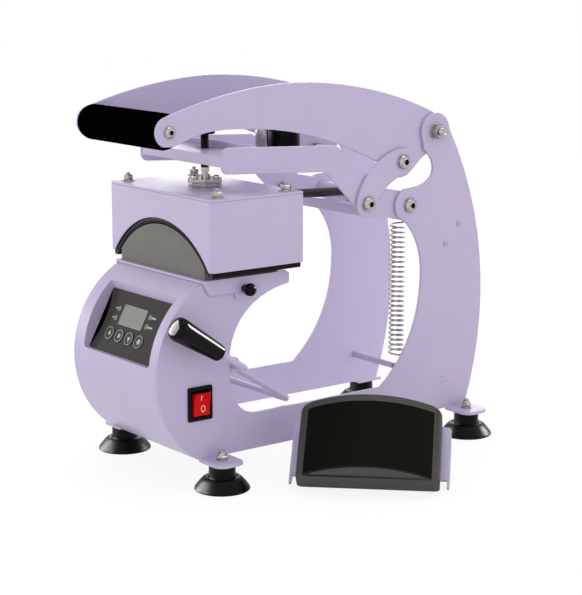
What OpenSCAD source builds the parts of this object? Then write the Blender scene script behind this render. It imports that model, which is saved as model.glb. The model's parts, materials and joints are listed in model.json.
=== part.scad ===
// Cap heat press: bent sheet frame, curved platen under a heated head, toggle handle above.
// X runs across the press, Y runs to the back and Z is up.
// The origin is on the table, midway between the four feet.

/* [Frame] */
// Distance over the two side plates
frame_w = 139; // [125:1:150]
// Thickness of the side plates
plate_t = 3; // [2.5:0.5:4]
// Distance between the front and the rear feet
foot_spacing = 295.4; // [290:0.2:300]
// Height of the two bottom rails
rail_h = 34; // [28:1:38]
// Radius of the curved rear edge of the side plates
back_r = 324; // [320:1:328]
// Radius of the eye at the handle pivot
ear_a_r = 17.5; // [16:0.5:19]
// Radius of the eye at the press arm pivot
ear_d_r = 17; // [15:0.5:18]

/* [Feet] */
// Diameter of the suction foot at the table
foot_d = 50; // [44:1:56]
// Height of the suction foot under its tab
foot_h = 23.4; // [20:0.2:26]
// Distance from the frame centre to a foot, sideways
foot_x = 81.3; // [78:0.1:86]
// Diameter of the foot studs
stud_d = 6; // [5:0.5:8]

/* [Drum] */
// Outer radius of the front drum
drum_r = 90.7; // [88:0.1:92]
// Thickness of the drum sheet
sheet_t = 2; // [1.5:0.1:2.5]
// Width of the control panel
panel_w = 108; // [100:0.2:110]
// Height of the control panel
panel_h = 58; // [54:0.5:60]
// Depth of the control panel below the drum surface, at its edges
panel_sink = 6.6; // [5:0.1:8]
// Diameter of the four keys
key_d = 12.4; // [11:0.1:13]
// Travel of the four keys
key_travel = 0.4; // [0.3:0.1:0.6]
// Width of the power switch
switch_w = 25.5; // [24:0.5:27]
// Height of the power switch
switch_h = 31; // [29:0.5:33]

/* [Platen] */
// Radius of the cap platen
platen_r = 89.5; // [87:0.5:89.8]
// Width of the cap platen
platen_w = 135.4; // [130:0.2:138]
// Front to back length of the cap platen
platen_l = 80; // [74:1:84]
// Thickness of the silicone pad on the platen
pad_t = 5; // [3:0.5:7]
// Thickness of the platen bracket
bracket_t = 2; // [1.5:0.1:2.5]
// Diameter of the lock knob
lock_d = 13; // [12:0.5:15]

/* [Head] */
// Width of the head cover
head_w = 166.6; // [162:0.2:170]
// Front to back length of the head cover
head_l = 101; // [98:0.5:104]
// Height of the head cover with its top plate
head_h = 64; // [62:0.5:68]
// Thickness of the head cover sheet
cover_t = 1.6; // [1.2:0.1:2]
// Radius of the hollow face of the heater block
heater_r = 90.3; // [90.2:0.1:91]
// Diameter of the swivel collar
collar_d = 31; // [28:0.5:34]
// Diameter of the pressure spindle
spindle_d = 8; // [7:0.5:9]
// Diameter of the pressure knob
knob_d = 39; // [34:1:42]

/* [Toggle] */
// Thickness of the handle arms, the press arms and the cross plates' lugs
arm_t = 3; // [2.5:0.1:3.5]
// Clearance between neighbouring layers of the toggle
layer_gap = 0.3; // [0.2:0.05:0.5]
// Radius of the pivot screws' shanks
pivot_r = 4; // [3.5:0.1:4.5]
// Diameter of the foam grip
grip_d = 32; // [28:1:34]
// Radius of the front end of the handle arms
handle_end_r = 13.5; // [12:0.5:15]
// Height of the press arms
arm_h = 23.5; // [21:0.5:25]
// Radius of the ends of the toggle links
link_r = 13; // [12:0.5:14]

/* [Spring] */
// Outer diameter of the return spring
spring_d = 16; // [14:0.5:18]
// Diameter of the spring wire
wire_d = 2; // [1.6:0.1:2.4]
// Number of curls of the return spring
spring_turns = 27; // [20:1:30]

/* [Hold-down lever] */
// Diameter of the hold-down rod
bail_d = 6; // [5:0.5:7]
// Half width of the hold-down loop
bail_x = 55; // [48:1:55]
// Length of the hold-down loop behind its pivot
bail_l = 84; // [76:1:88]
// Diameter of the lever grip at its wide end
bail_grip_d = 22; // [19:0.5:22]

/* [Hidden] */
$fn = 64;

// Colours, as the finish of each piece
lilac = "#b9abd8";
black = "#1b1b1c";
chrome = "#c9c9cc";
grey_pad = "#7d7b76";
dark_block = "#424240";

// Clearances
fit = 0.05;
seat = 0.3;
slide_gap = 0.2;
step = 4;

// Layers across the frame: the plates and links outside, the arms inside them
plate_out = frame_w / 2;
plate_in = plate_out - plate_t;
arm_out = plate_in - layer_gap;
arm_in = arm_out - arm_t;

// Places that the frame is drawn from, each as [Y, Z]
foot_y = foot_spacing / 2;
rail_z = foot_h + plate_t;
rail_top = rail_z + rail_h;
drum_c = [30 - foot_y, rail_z + 77.6];
drum_top = drum_c[1] + 81;
head_c = [0, drum_c[0] + 10.6];
head_z = drum_top + 10.3;
head_top = head_z + head_h;
back_c = [foot_y + 27.6 - back_r, rail_z + 110];
pivot_d = [foot_y - 67.9, head_top - 26.3];
pivot_a = pivot_d + [32.2, 68.3];
pivot_b = pivot_a - [40.8, 26.4];
pivot_c = pivot_d + [-51.1, 5.7];
grip_c = pivot_a + [-300.9, 17];
bail_c = drum_c + [-6.5, 2.5];

// Points of an arc, of a cubic curve and of an outline with rounded corners
function arc(c, r, a0, a1) =
    let (n = max(2, ceil(abs(a1 - a0) / step)))
    [for (i = [0:n]) let (a = a0 + (a1 - a0) * i / n) c + r * [cos(a), sin(a)]];
function curve(p, n = 10) =
    [for (i = [0:n]) let (t = i / n, u = 1 - t)
        u * u * u * p[0] + 3 * u * u * t * p[1] + 3 * u * t * t * p[2] + t * t * t * p[3]];
function unit(v) = v / norm(v);
function corner(a, b, c, r) =
    let (u = unit(a - b), v = unit(c - b), half = acos(u * v) / 2)
    let (m = b + unit(u + v) * r / sin(half))
    let (p = b + u * r / tan(half), q = b + v * r / tan(half))
    let (a0 = atan2(p[1] - m[1], p[0] - m[0]), a1 = atan2(q[1] - m[1], q[0] - m[0]))
    let (turn = (a1 - a0 + 540) % 360 - 180)
    arc(m, r, a0, a0 + turn);
function rounded(pts) =
    let (n = len(pts))
    [for (i = [0:n - 1])
        let (p = pts[i], a = pts[(i + n - 1) % n], c = pts[(i + 1) % n])
        for (q = p[2] > 0 ? corner([a[0], a[1]], [p[0], p[1]], [c[0], c[1]], p[2]) : [[p[0], p[1]]]) q];

// Solids drawn along X from an outline in Y and Z, and along Y from an outline in X and Z
module along_x(x0, x1) {
    translate([x0, 0, 0]) rotate([90, 0, 90]) linear_extrude(x1 - x0) children();
}
module along_y(y0, y1) {
    translate([0, y1, 0]) rotate([90, 0, 0]) linear_extrude(y1 - y0) children();
}
module rod_x(x0, x1, p, r, n = 48) {
    translate([x0, p[0], p[1]]) rotate([0, 90, 0]) cylinder(r = r, h = x1 - x0, $fn = n);
}
module both_sides() {
    children();
    mirror([1, 0, 0]) children();
}
module slab(w, l, r) {
    square([w - 2 * r, l], center = true);
    square([w, l - 2 * r], center = true);
    for (x = [-1, 1], y = [-1, 1]) translate([x * (w / 2 - r), y * (l / 2 - r)]) circle(r, $fn = 40);
}

// A button head with a hex socket, standing on the plane z = 0
module button_head(d, h) {
    difference() {
        rotate_extrude($fn = 40) polygon([
            [0, 0], [d / 2, 0], [d / 2, h * 0.25], [d * 0.44, h * 0.62], [d * 0.32, h * 0.9],
            [d * 0.22, h], [0, h]
        ]);
        translate([0, 0, h * 0.4]) cylinder(d = d * 0.42, h = h, $fn = 6);
    }
}
module hex_nut(across, h, bore) {
    difference() {
        cylinder(d = across / cos(30), h = h, $fn = 6);
        if (bore > 0) translate([0, 0, -1]) cylinder(r = bore, h = h + 2);
    }
}

// Outline of a side plate: rail, curved column, two eyes, and the drum's side with its beak
drum_a0 = 180 - asin((drum_top - drum_c[1]) / drum_r);
drum_a1 = 180 + asin((drum_c[1] - rail_z) / drum_r);
back_a0 = asin((rail_z - back_c[1]) / back_r);
back_a1 = asin((pivot_a[1] - 0.5 - back_c[1]) / back_r);
beak = drum_c + [53.2, 71];
module side_outline() {
    polygon(concat(
        arc(back_c, back_r, back_a0, back_a1),
        arc(pivot_a, ear_a_r, 15, 205),
        curve([pivot_a - [14, 17], pivot_a - [9, 20.3], pivot_a - [2.5, 27.3], pivot_a - [2.7, 35.3]], 5),
        curve([pivot_a - [2.7, 35.3], pivot_a - [3, 47.3], pivot_a - [15, 50.3],
            pivot_d + ear_d_r * [cos(104), sin(104)]], 7),
        arc(pivot_d, ear_d_r, 112, 217),
        curve([pivot_d - [9.8, 11.7], pivot_d + [5.5, -22], pivot_d + [16.5, -43], pivot_d + [16.5, -66]]),
        curve([pivot_d + [16.5, -66], pivot_d + [16.5, -106], [pivot_d[0] + 2.5, rail_top + 27.7],
            [pivot_d[0] - 33.5, rail_top]]),
        curve([[drum_c[0] + 14.3, rail_top], [drum_c[0] - 6, rail_top + 1.7], drum_c - [13, 20],
            drum_c + [-13, 4]], 8),
        curve([drum_c + [-13, 4], drum_c + [-13, 43], drum_c + [14, 66], beak], 10),
        [[beak[0] + 1, beak[1] + 2], [beak[0] + 1, drum_top]],
        arc(drum_c, drum_r, drum_a0, drum_a1)
    ));
}

// Foot tab bent outwards from a side plate, seen from above
tab_l = 30;
tab_out = foot_x + 17.7;
module foot_tab(y) {
    difference() {
        translate([0, 0, foot_h]) linear_extrude(plate_t) {
            translate([plate_in, y - tab_l / 2]) square([tab_out - plate_in - 10, tab_l]);
            translate([plate_in, y - tab_l / 2 + 10]) square([tab_out - plate_in, tab_l - 20]);
            for (s = [-1, 1]) translate([tab_out - 10, y + s * (tab_l / 2 - 10)]) circle(10, $fn = 40);
        }
        translate([foot_x, y, 0]) cylinder(r = stud_d / 2 + fit, h = 60);
    }
}

// Eye that carries the hold-down rod, welded inside the plate at the drum's rear edge
lug_t = 3;
lug_in = arm_out - lug_t;
module bail_lug() {
    along_x(lug_in, plate_in) difference() {
        union() {
            translate(bail_c) circle(7.5, $fn = 48);
            translate(bail_c + [-14, -7.5]) square([14, 15]);
        }
        translate(bail_c) circle(bail_d / 2 + fit, $fn = 48);
    }
}

tie_c = [foot_y - 22.2, rail_z + 29.6];
tie_r = 3;
micro_a = pivot_d + [63.7, -23.6];
micro_b = pivot_d + [47, -41.6];
switch_c = drum_c - [45.5, 25.7];
lock_c = drum_c + [3, 72];
lock_shank_r = 3;
module side_plate(near) {
    difference() {
        union() {
            along_x(plate_in, plate_out) side_outline();
            for (s = [-1, 1]) foot_tab(s * foot_y);
            bail_lug();
        }
        for (p = [pivot_a, pivot_d]) rod_x(plate_in - 1, plate_out + 1, p, pivot_r + fit);
        rod_x(plate_in - 1, plate_out + 1, tie_c, tie_r + fit);
        if (near) {
            rod_x(plate_in - 1, plate_out + 1, lock_c, lock_shank_r + fit);
            for (p = [micro_a, micro_b]) rod_x(plate_in - 1, plate_out + 1, p, 1.5 + fit);
            translate([plate_in - 1, switch_c[0] - switch_w / 2 + 1.5, switch_c[1] - switch_h / 2 + 1.5])
                cube([plate_t + 2, switch_w - 3, switch_h - 3]);
        }
    }
}
module side_plate_near() {
    color(lilac) side_plate(true);
}
module side_plate_far() {
    color(lilac) mirror([1, 0, 0]) side_plate(false);
}

// Control panel frame: its centre lies on a chord of the drum, tilted back
panel_dir = 151.9;
panel_tilt = panel_dir - 90;
panel_x = 2.7;
panel_v = -2.4;
chord_h = drum_r * cos(asin(panel_h / 2 / drum_r));
panel_face = chord_h - panel_sink;
module on_panel() {
    translate([panel_x, drum_c[0] + panel_face * cos(panel_dir), drum_c[1] + panel_face * sin(panel_dir)])
        rotate([panel_tilt, 0, 0]) translate([0, panel_v, 0]) children();
}
tray_gap = 0.6;
tray_w = panel_w + 2 * tray_gap;
tray_h = panel_h + 2 * tray_gap;
fascia_t = 3;
tray_rise = 30;
slope_top = 1.05;
slope_low = 0.45;

// Recess for the panel: straight around the fascia, then sloping out above and below it
module tray_space(s, r) {
    intersection() {
        along_x(-tray_w / 2 - s, tray_w / 2 + s) polygon([
            [-tray_h / 2 - s, -fascia_t - s], [tray_h / 2 + s, -fascia_t - s], [tray_h / 2 + s, 0],
            [tray_h / 2 + s + slope_top * tray_rise, tray_rise],
            [-tray_h / 2 - s - slope_low * tray_rise, tray_rise], [-tray_h / 2 - s, 0]
        ]);
        translate([0, 2, -20]) linear_extrude(60) slab(tray_w + 2 * s, tray_h + 2 * s + 8, r);
    }
}

// Drum sheet: the front curve and the flat floor, with the window for the control panel
shell_x = plate_in;
rear_y = drum_c[0] - 16.3;
floor_a = 180 + asin((drum_c[1] - rail_z - sheet_t) / (drum_r - sheet_t));
module drum_shell() {
    color(lilac) difference() {
        union() {
            along_x(-shell_x, shell_x) polygon(concat(
                arc(drum_c, drum_r, drum_a0, drum_a1),
                [[rear_y, rail_z], [rear_y, rail_z + sheet_t]],
                arc(drum_c, drum_r - sheet_t, floor_a, drum_a0)
            ));
            intersection() {
                along_x(-shell_x, shell_x) translate(drum_c) circle(drum_r - 0.4, $fn = 180);
                on_panel() tray_space(sheet_t, 6);
            }
        }
        on_panel() tray_space(0, 4);
        on_panel() translate([0, 0, -fascia_t - sheet_t - 1]) linear_extrude(8)
            square([panel_w - 8, panel_h - 8], center = true);
    }
}

// Rear and top closing panel of the drum, one bent sheet behind the curved edge of the plates
inlet_c = [0, rail_z + 25.6];
inlet_w = 27.5;
inlet_h = 20;
module inlet_screw_holes(y, l) {
    for (s = [-1, 1]) translate([s * 20, y, inlet_c[1]]) rotate([90, 0, 0]) cylinder(r = 1.55, h = l);
}
top_y0 = drum_c[0] - sqrt(drum_r * drum_r - pow(drum_top - drum_c[1], 2)) + 1.5;
panel_end = drum_c + [49.7, 74];
module drum_rear_panel() {
    color(lilac) difference() {
        along_x(-shell_x, shell_x) polygon(concat(
            [[rear_y - sheet_t, rail_z + sheet_t], [rear_y, rail_z + sheet_t]],
            curve([[rear_y, drum_c[1] + 8], [rear_y, drum_c[1] + 46], drum_c + [11.7, 68], panel_end], 10),
            [[panel_end[0], drum_top], [top_y0, drum_top], [top_y0, drum_top - sheet_t],
                [panel_end[0] - sheet_t, drum_top - sheet_t]],
            curve([panel_end + [-sheet_t, sheet_t], drum_c + [10.2, 70], [rear_y - sheet_t, drum_c[1] + 47],
                [rear_y - sheet_t, drum_c[1] + 8]], 10)
        ));
        translate([-inlet_w / 2, rear_y - 10, inlet_c[1] - inlet_h / 2]) cube([inlet_w, 20, inlet_h]);
        inlet_screw_holes(rear_y + 5, 20);
        both_sides() translate([lug_in - fit, rear_y - 3, bail_c[1] - 7.5 - fit]) cube([10, 6, 15 + 2 * fit]);
    }
}

// Three-pin power inlet in the rear panel
module power_inlet() {
    color(black) difference() {
        union() {
            translate([0, rear_y + 2.5, inlet_c[1]]) rotate([90, 0, 0]) linear_extrude(2.5) slab(50, 24, 5);
            translate([-inlet_w / 2 + 0.1, rear_y - 22, inlet_c[1] - inlet_h / 2 + 0.1])
                cube([inlet_w - 0.2, 23, inlet_h - 0.2]);
        }
        translate([-12, rear_y - 14, inlet_c[1] - 8]) cube([24, 20, 16]);
        inlet_screw_holes(rear_y + 6, 12);
    }
    color(chrome) for (x = [-7, 0, 7])
        translate([x - 1, rear_y - 15, inlet_c[1] - 2 + (x == 0 ? 3 : -1)]) cube([2, 12, 4]);
}

// Control panel: dark glass fascia with a display, lights and four keys
key_row = -panel_h / 2 + 17.2;
key_pitch = 16.2;
key_x0 = -panel_w / 2 + 23.5;
display_w = 36.3;
display_h = 18;
display_at = [-5.6, 7.8];
lights = [for (x = [-31.3, 20], y = [12.2, 3.2]) [x, y]];
module control_panel() {
    color("#464440") on_panel() translate([0, 0, -fascia_t]) difference() {
        linear_extrude(fascia_t) slab(panel_w, panel_h, 1.5);
        translate([display_at[0], display_at[1], fascia_t - 1.2]) linear_extrude(3)
            slab(display_w, display_h, 2);
        for (p = lights) translate([p[0], p[1], -1]) cylinder(d = 3 + 2 * fit, h = 9);
        for (i = [0:3]) translate([key_x0 + i * key_pitch, key_row, -1]) cylinder(d = key_d + 0.2, h = 9);
    }
}
module display_lights() {
    color("#94938e") on_panel() translate([display_at[0], display_at[1], -1.2])
        linear_extrude(1.3) slab(display_w - 0.1, display_h - 0.1, 1.95);
    color("#d8d8d4") on_panel() for (p = lights)
        translate([p[0], p[1], -fascia_t - 1]) cylinder(d = 3, h = fascia_t + 1.2);
}
module key(i) {
    color("#2a2a2a") on_panel() translate([key_x0 + i * key_pitch, key_row, 0]) {
        translate([0, 0, -fascia_t - 0.4]) cylinder(d = key_d, h = fascia_t + 0.9);
        translate([0, 0, 0.5]) difference() {
            cylinder(d = key_d - 0.4, h = 0.3);
            translate([0, 0, -1]) cylinder(d = key_d - 2, h = 3);
        }
    }
}
module key_1() {
    key(0);
}
module key_2() {
    key(1);
}
module key_3() {
    key(2);
}
module key_4() {
    key(3);
}

// Control board with its relay, transformer and key switches, on posts behind the tray
board_z = -14.6;
board_posts = [for (x = [-1, 1], y = [-1, 1]) [x * (panel_w / 2 - 6), y * (panel_h / 2 - 5)]];
module control_board() {
    color("#2f5d3a") on_panel() difference() {
        translate([0, 0, board_z]) linear_extrude(1.6) square([panel_w - 6, panel_h - 4], center = true);
        for (p = board_posts) translate([p[0], p[1], board_z - 5]) cylinder(r = 1.6, h = 12);
    }
    color("#8a8f94") on_panel() {
        for (p = board_posts) translate([p[0], p[1], -13]) cylinder(r = 2.5, h = 8 - seat);
        for (i = [0:3]) translate([key_x0 + i * key_pitch, key_row, -13]) cylinder(d = 6, h = 8.2);
        translate([display_at[0] - display_w / 2, display_at[1] - display_h / 2 + 1, -13])
            cube([display_w, display_h - 2, 7.5]);
    }
    color(black) on_panel() {
        translate([-36, -14, -35]) cube([30, 28, 20.4]);
        translate([2, -10, -31]) cube([16, 20, 16.4]);
        translate([24, -10, -29]) cube([14, 20, 14.4]);
    }
}

// Power switch: bezel and body in the near plate, with the lit rocker in it
rocker_w = switch_w - 9;
rocker_h = switch_h - 8;
rocker_x = plate_out - 1;
rocker_tilt = 7;
rocker_pin = 1.4;
module switch_body() {
    color(black) difference() {
        union() {
            translate([plate_out, switch_c[0], switch_c[1]]) rotate([90, 0, 90])
                linear_extrude(2) slab(switch_w, switch_h, 1.5);
            translate([plate_in - 17, switch_c[0] - switch_w / 2 + 1.6, switch_c[1] - switch_h / 2 + 1.6])
                cube([17 + plate_t, switch_w - 3.2, switch_h - 3.2]);
        }
        translate([plate_in - 6, switch_c[0] - rocker_w / 2 - seat, switch_c[1] - rocker_h / 2 - seat])
            cube([30, rocker_w + 2 * seat, rocker_h + 2 * seat]);
        translate([rocker_x, switch_c[0] + rocker_w / 2 + 1.8, switch_c[1]]) rotate([90, 0, 0])
            cylinder(r = rocker_pin + fit, h = rocker_w + 3.6, $fn = 40);
    }
    color(chrome) for (z = [-8, 0, 8])
        translate([plate_in - 25, switch_c[0] - 2.4, switch_c[1] + z - 0.4]) cube([8, 4.8, 0.8]);
}
module rocker_outline() {
    intersection() {
        circle(rocker_h / 2, $fn = 96);
        polygon(concat(
            [[-5, -6.5]],
            [for (i = [-6:6]) let (z = i / 12 * rocker_h) [5.4 + 0.009 * z * z, z]],
            [[-5, 6.5]]
        ));
    }
}
module switch_rocker() {
    color("#d70a0a") translate([rocker_x, switch_c[0], switch_c[1]]) rotate([90, 0, 0]) {
        translate([0, 0, -rocker_w / 2]) linear_extrude(rocker_w) rotate(-rocker_tilt) rocker_outline();
        translate([0, 0, -rocker_w / 2 - 1.6]) cylinder(r = rocker_pin, h = rocker_w + 3.2, $fn = 40);
    }
}

// Cap platen: sheet bracket with side flanges, block and silicone pad
bracket_z = drum_top + slide_gap;
bracket_y0 = drum_c[0] - 42;
bracket_l = 92;
bracket_in = plate_out + slide_gap;
bracket_out = bracket_in + bracket_t;
platen_z = bracket_z + bracket_t;
arch_c = [0, drum_top - 46];
platen_y0 = bracket_y0 + 4.2;
flange_low = 14;
lug_low = 20.5;
screw_at = [for (x = [-1, 1], y = [15, platen_l - 15]) [x * platen_w / 3, platen_y0 + y]];
module flange_outline(y0, cut) {
    difference() {
        polygon(rounded([
            [y0, platen_z, 0], [y0, platen_z - 2, 0], [y0 + cut, platen_z - flange_low, 6],
            [lock_c[0] - 11, platen_z - flange_low, 1.5], [lock_c[0] - 10, platen_z - lug_low, 2],
            [lock_c[0] + 13, platen_z - lug_low, 3], [lock_c[0] + 16, platen_z, 0]
        ]));
        translate(lock_c) circle(lock_shank_r + slide_gap, $fn = 48);
        translate([lock_c[0], lock_c[1] - lock_shank_r - slide_gap])
            square([40, 2 * (lock_shank_r + slide_gap)]);
    }
}
module platen_bracket() {
    color(lilac) {
        difference() {
            translate([-bracket_out, bracket_y0, bracket_z]) cube([2 * bracket_out, bracket_l, bracket_t]);
            for (p = screw_at) translate([p[0], p[1], bracket_z]) {
                translate([0, 0, -1]) cylinder(r = 2 + fit, h = bracket_t + 2);
                cylinder(r1 = 4 + fit, r2 = 2 + fit, h = 2);
            }
        }
        both_sides() along_x(bracket_in, bracket_out) difference() {
            flange_outline(bracket_y0, 6.5);
            translate([bracket_y0 - 1, bracket_z]) square([bracket_l + 9, 20]);
        }
    }
}
module platen_screws() {
    color(chrome) for (p = screw_at) translate([p[0], p[1], bracket_z]) {
        cylinder(r1 = 4, r2 = 2, h = 2, $fn = 40);
        cylinder(r = 2, h = bracket_t + 11, $fn = 40);
    }
}
module arch_block(w, r, low, c) {
    intersection() {
        translate(c) circle(r, $fn = 160);
        translate([-w / 2, low]) square([w, r * 2]);
    }
}
module platen_block() {
    color(dark_block) difference() {
        along_y(platen_y0, platen_y0 + platen_l)
            arch_block(platen_w - 2 * pad_t, platen_r - pad_t, platen_z, arch_c);
        for (p = screw_at) translate([p[0], p[1], platen_z - 1]) cylinder(r = 2 + fit, h = 13);
    }
}
module platen_pad() {
    color(grey_pad) along_y(platen_y0, platen_y0 + platen_l) difference() {
        arch_block(platen_w, platen_r, platen_z, arch_c);
        arch_block(platen_w - 2 * pad_t, platen_r - pad_t, platen_z - 1, arch_c);
    }
}

// Knob that locks the platen bracket, with its shank through the slot and the plate
module lock_knob() {
    color(black) translate([bracket_out + slide_gap, lock_c[0], lock_c[1]]) rotate([0, 90, 0]) {
        rotate_extrude($fn = 48) polygon([
            [0, 0], [4, 0], [4, 2.5], [lock_d / 2 - 0.6, 2.5], [lock_d / 2, 3.4], [lock_d / 2, 12.2],
            [lock_d / 2 - 1.6, 14.2], [0, 14.6]
        ]);
        translate([0, 0, -12]) cylinder(r = lock_shank_r, h = 12, $fn = 48);
    }
}

// Heated head: cover, top plate, heater block, element and insulation
top_t = 2;
head_y0 = head_c[1] - head_l / 2;
cover_arch_r = heater_r + 5;
module head_cover() {
    color(lilac) difference() {
        translate([head_c[0], head_c[1], head_z]) linear_extrude(head_h - top_t) slab(head_w, head_l, 4);
        translate([head_c[0], head_c[1], head_z - 1]) linear_extrude(head_h)
            slab(head_w - 2 * cover_t, head_l - 2 * cover_t, 4 - cover_t);
        along_y(head_y0 - 1, head_y0 + head_l + 1) translate(arch_c) circle(cover_arch_r, $fn = 160);
        translate([0, head_y0 + head_l + 5, lead_at(head_y0 + head_l)]) rotate([90, 0, 0])
            linear_extrude(15) {
            for (z = [0, -head_lift]) translate([0, z]) circle(lead_d / 2 + 0.7, $fn = 48);
            translate([-lead_d / 2 - 0.7, -head_lift]) square([lead_d + 1.4, head_lift]);
        }
    }
}
stud_at = [for (x = [-1, 1], y = [-1, 1]) [x * (head_w / 2 - 11.3), y * (head_l / 2 - 13.5)]];
collar_screw_at = [[9.5, 6], [-9.5, 6], [0, -11.2]];
module head_top_plate() {
    color(lilac) translate([head_c[0], head_c[1], head_top - top_t]) difference() {
        linear_extrude(top_t) slab(head_w, head_l, 4);
        for (p = stud_at) translate([p[0], p[1], -1]) cylinder(r = 2 + fit, h = top_t + 2);
    }
}
stud_low = head_z + 6;
heater_low = 4.8;
heater_t = 12;
heater_in = 1;
module heater_block() {
    color("#4b4b4d") difference() {
        along_y(head_y0 + cover_t + heater_in, head_y0 + head_l - cover_t - heater_in) difference() {
            intersection() {
                translate(arch_c) circle(heater_r + heater_t, $fn = 160);
                translate([-head_w / 2 + cover_t + heater_in, head_z - heater_low])
                    square([head_w - 2 * cover_t - 2 * heater_in, 80]);
            }
            translate(arch_c) circle(heater_r, $fn = 160);
        }
        for (p = stud_at) translate([p[0], head_c[1] + p[1], stud_low - 0.5]) cylinder(r = 2 + fit, h = 60);
    }
}
element_t = 1.5;
module heating_element() {
    color("#b07b3c") along_y(head_y0 + 8, head_y0 + head_l - 8) intersection() {
        difference() {
            translate(arch_c) circle(heater_r + heater_t + element_t, $fn = 160);
            translate(arch_c) circle(heater_r + heater_t, $fn = 160);
        }
        translate([-head_w / 3, head_z]) square([head_w / 1.5, 80]);
    }
}
pad_x = head_w / 2 - 17.3;
module insulation_pad() {
    color("#d9d2bd") along_y(head_y0 + 8, head_y0 + head_l - 10) difference() {
        translate([-pad_x, head_z + 30.7]) square([2 * pad_x, head_h - top_t - 30.7]);
        translate(arch_c) circle(heater_r + heater_t + element_t, $fn = 160);
    }
}

// Studs and nuts on the head's top plate, and the screws of its collar
module head_fasteners() {
    color(chrome) {
        for (p = stud_at) translate([p[0], head_c[1] + p[1], 0]) {
            translate([0, 0, stud_low]) cylinder(r = 2, h = head_top + 9 - stud_low, $fn = 32);
            translate([0, 0, head_top]) difference() {
                union() {
                    cylinder(d = 12, h = 1.2);
                    translate([0, 0, 1.2]) hex_nut(8, 4, 0);
                }
                translate([0, 0, -1]) cylinder(r = 2 + fit, h = 9);
            }
        }
        for (p = collar_screw_at) translate([p[0], head_c[1] + p[1], head_top + 7.5]) difference() {
            cylinder(d = 5.4, h = 3);
            translate([0, 0, 1.2]) cylinder(d = 2.9, h = 3, $fn = 6);
        }
    }
}

// Swivel collar that hangs the head on the spindle
collar_h = 7.5;
module swivel_collar() {
    color(chrome) translate([head_c[0], head_c[1], head_top]) difference() {
        union() {
            cylinder(d = collar_d - 1, h = 3.4);
            translate([0, 0, 3.4]) cylinder(d = collar_d - 2.4, h = 0.6);
            translate([0, 0, 4]) cylinder(d = collar_d, h = collar_h - 4);
        }
        translate([0, 0, -1]) cylinder(r = spindle_d / 2 + 0.9 + fit, h = collar_h + 2);
    }
}
spindle_low = head_top + seat;
knob_z = head_top + 47.7;
spindle_top = knob_z + 2;
module pressure_spindle() {
    color(chrome) translate([head_c[0], head_c[1], 0]) {
        translate([0, 0, spindle_low]) cylinder(r = spindle_d / 2 + 0.9, h = collar_h + 3, $fn = 48);
        translate([0, 0, spindle_low + collar_h + 3]) cylinder(r = spindle_d / 2 - 0.8, h = 2.5, $fn = 48);
        translate([0, 0, spindle_low + collar_h + 5.5])
            cylinder(r = spindle_d / 2, h = spindle_top - spindle_low - collar_h - 5.5, $fn = 48);
    }
}
knob_h = 22;
module pressure_knob() {
    color(black) translate([head_c[0], head_c[1], knob_z]) difference() {
        union() {
            rotate_extrude($fn = 64) polygon([
                [0, 0], [9, 0], [10, 3], [knob_d / 2 - 5, 5], [knob_d / 2 - 3, 7],
                [knob_d / 2 - 3, knob_h - 2.5], [knob_d / 2 - 5, knob_h], [0, knob_h]
            ]);
            for (i = [0:7]) rotate([0, 0, i * 45]) translate([knob_d / 2 - 4, 0, 6])
                cylinder(r = 4, h = knob_h - 8, $fn = 32);
        }
        translate([0, 0, -1]) cylinder(r = spindle_d / 2 + fit, h = spindle_top - knob_z + 1 + seat);
    }
}

// Press arms, side view: level at the front, then down to the two pivots
arm_front = [head_c[1] - 27.4, head_top + 42.3];
arm_bend_y = pivot_c[0] - 35.2;
arm_drop = 6.4;
module press_arm_outline() {
    polygon(rounded([
        [arm_front[0], arm_front[1] - arm_h, 7],
        [arm_bend_y - 12.5, arm_front[1] - arm_h - arm_drop, 10],
        [pivot_c[0] - 12, pivot_c[1] - 2, 9],
        [pivot_c[0] + 2, pivot_c[1] - 13.5, 8],
        [pivot_d[0] - 1, pivot_d[1] - 12.6, 6],
        [pivot_d[0] - 1, pivot_d[1] + 12.6, 6],
        [pivot_c[0] + 18, pivot_c[1] + 13.5, 8],
        [arm_bend_y, arm_front[1] - arm_drop, 9],
        [arm_front[0], arm_front[1], 7]
    ]));
    translate(pivot_d) circle(13, $fn = 64);
}
module press_arm(finger) {
    along_x(arm_in, arm_out) difference() {
        union() {
            press_arm_outline();
            if (finger) switch_finger();
        }
        translate(pivot_d) circle(pivot_r + fit, $fn = 48);
    }
}
module press_arm_near() {
    color(lilac) press_arm(true);
}
module press_arm_far() {
    color(lilac) mirror([1, 0, 0]) press_arm(false);
}

// Cross plates of the press arm
front_plate_y = [arm_front[0] + 0.5, head_c[1] + 13.1];
front_plate_z = arm_front[1] - 17.6;
front_plate_t = 10;
module arm_front_plate() {
    color(lilac) difference() {
        union() {
            translate([-arm_in, front_plate_y[0], front_plate_z])
                cube([2 * arm_in, front_plate_y[1] - front_plate_y[0], front_plate_t]);
            translate([-arm_in, front_plate_y[1] - 3, front_plate_z]) cube([2 * arm_in, 3, 16]);
        }
        translate([head_c[0], head_c[1], front_plate_z - 1]) cylinder(r = spindle_d / 2 + fit, h = 20);
    }
}
rear_plate_y = [arm_bend_y - 43.5, arm_bend_y + 6.5];
rear_plate_z = arm_front[1] - 23.6;
rear_plate_t = 4;
post_at = [0, rear_plate_y[0] + 7.3];
buffer_at = [0, rear_plate_y[0] + 33.3];
module arm_rear_plate() {
    color(lilac) difference() {
        translate([-arm_in, rear_plate_y[0], rear_plate_z])
            cube([2 * arm_in, rear_plate_y[1] - rear_plate_y[0], rear_plate_t]);
        for (p = [post_at, buffer_at]) translate([p[0], p[1], rear_plate_z - 1])
            cylinder(r = 3 + fit, h = rear_plate_t + 2);
    }
}
boss_d = 13;
boss_h = 6.4;
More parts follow.
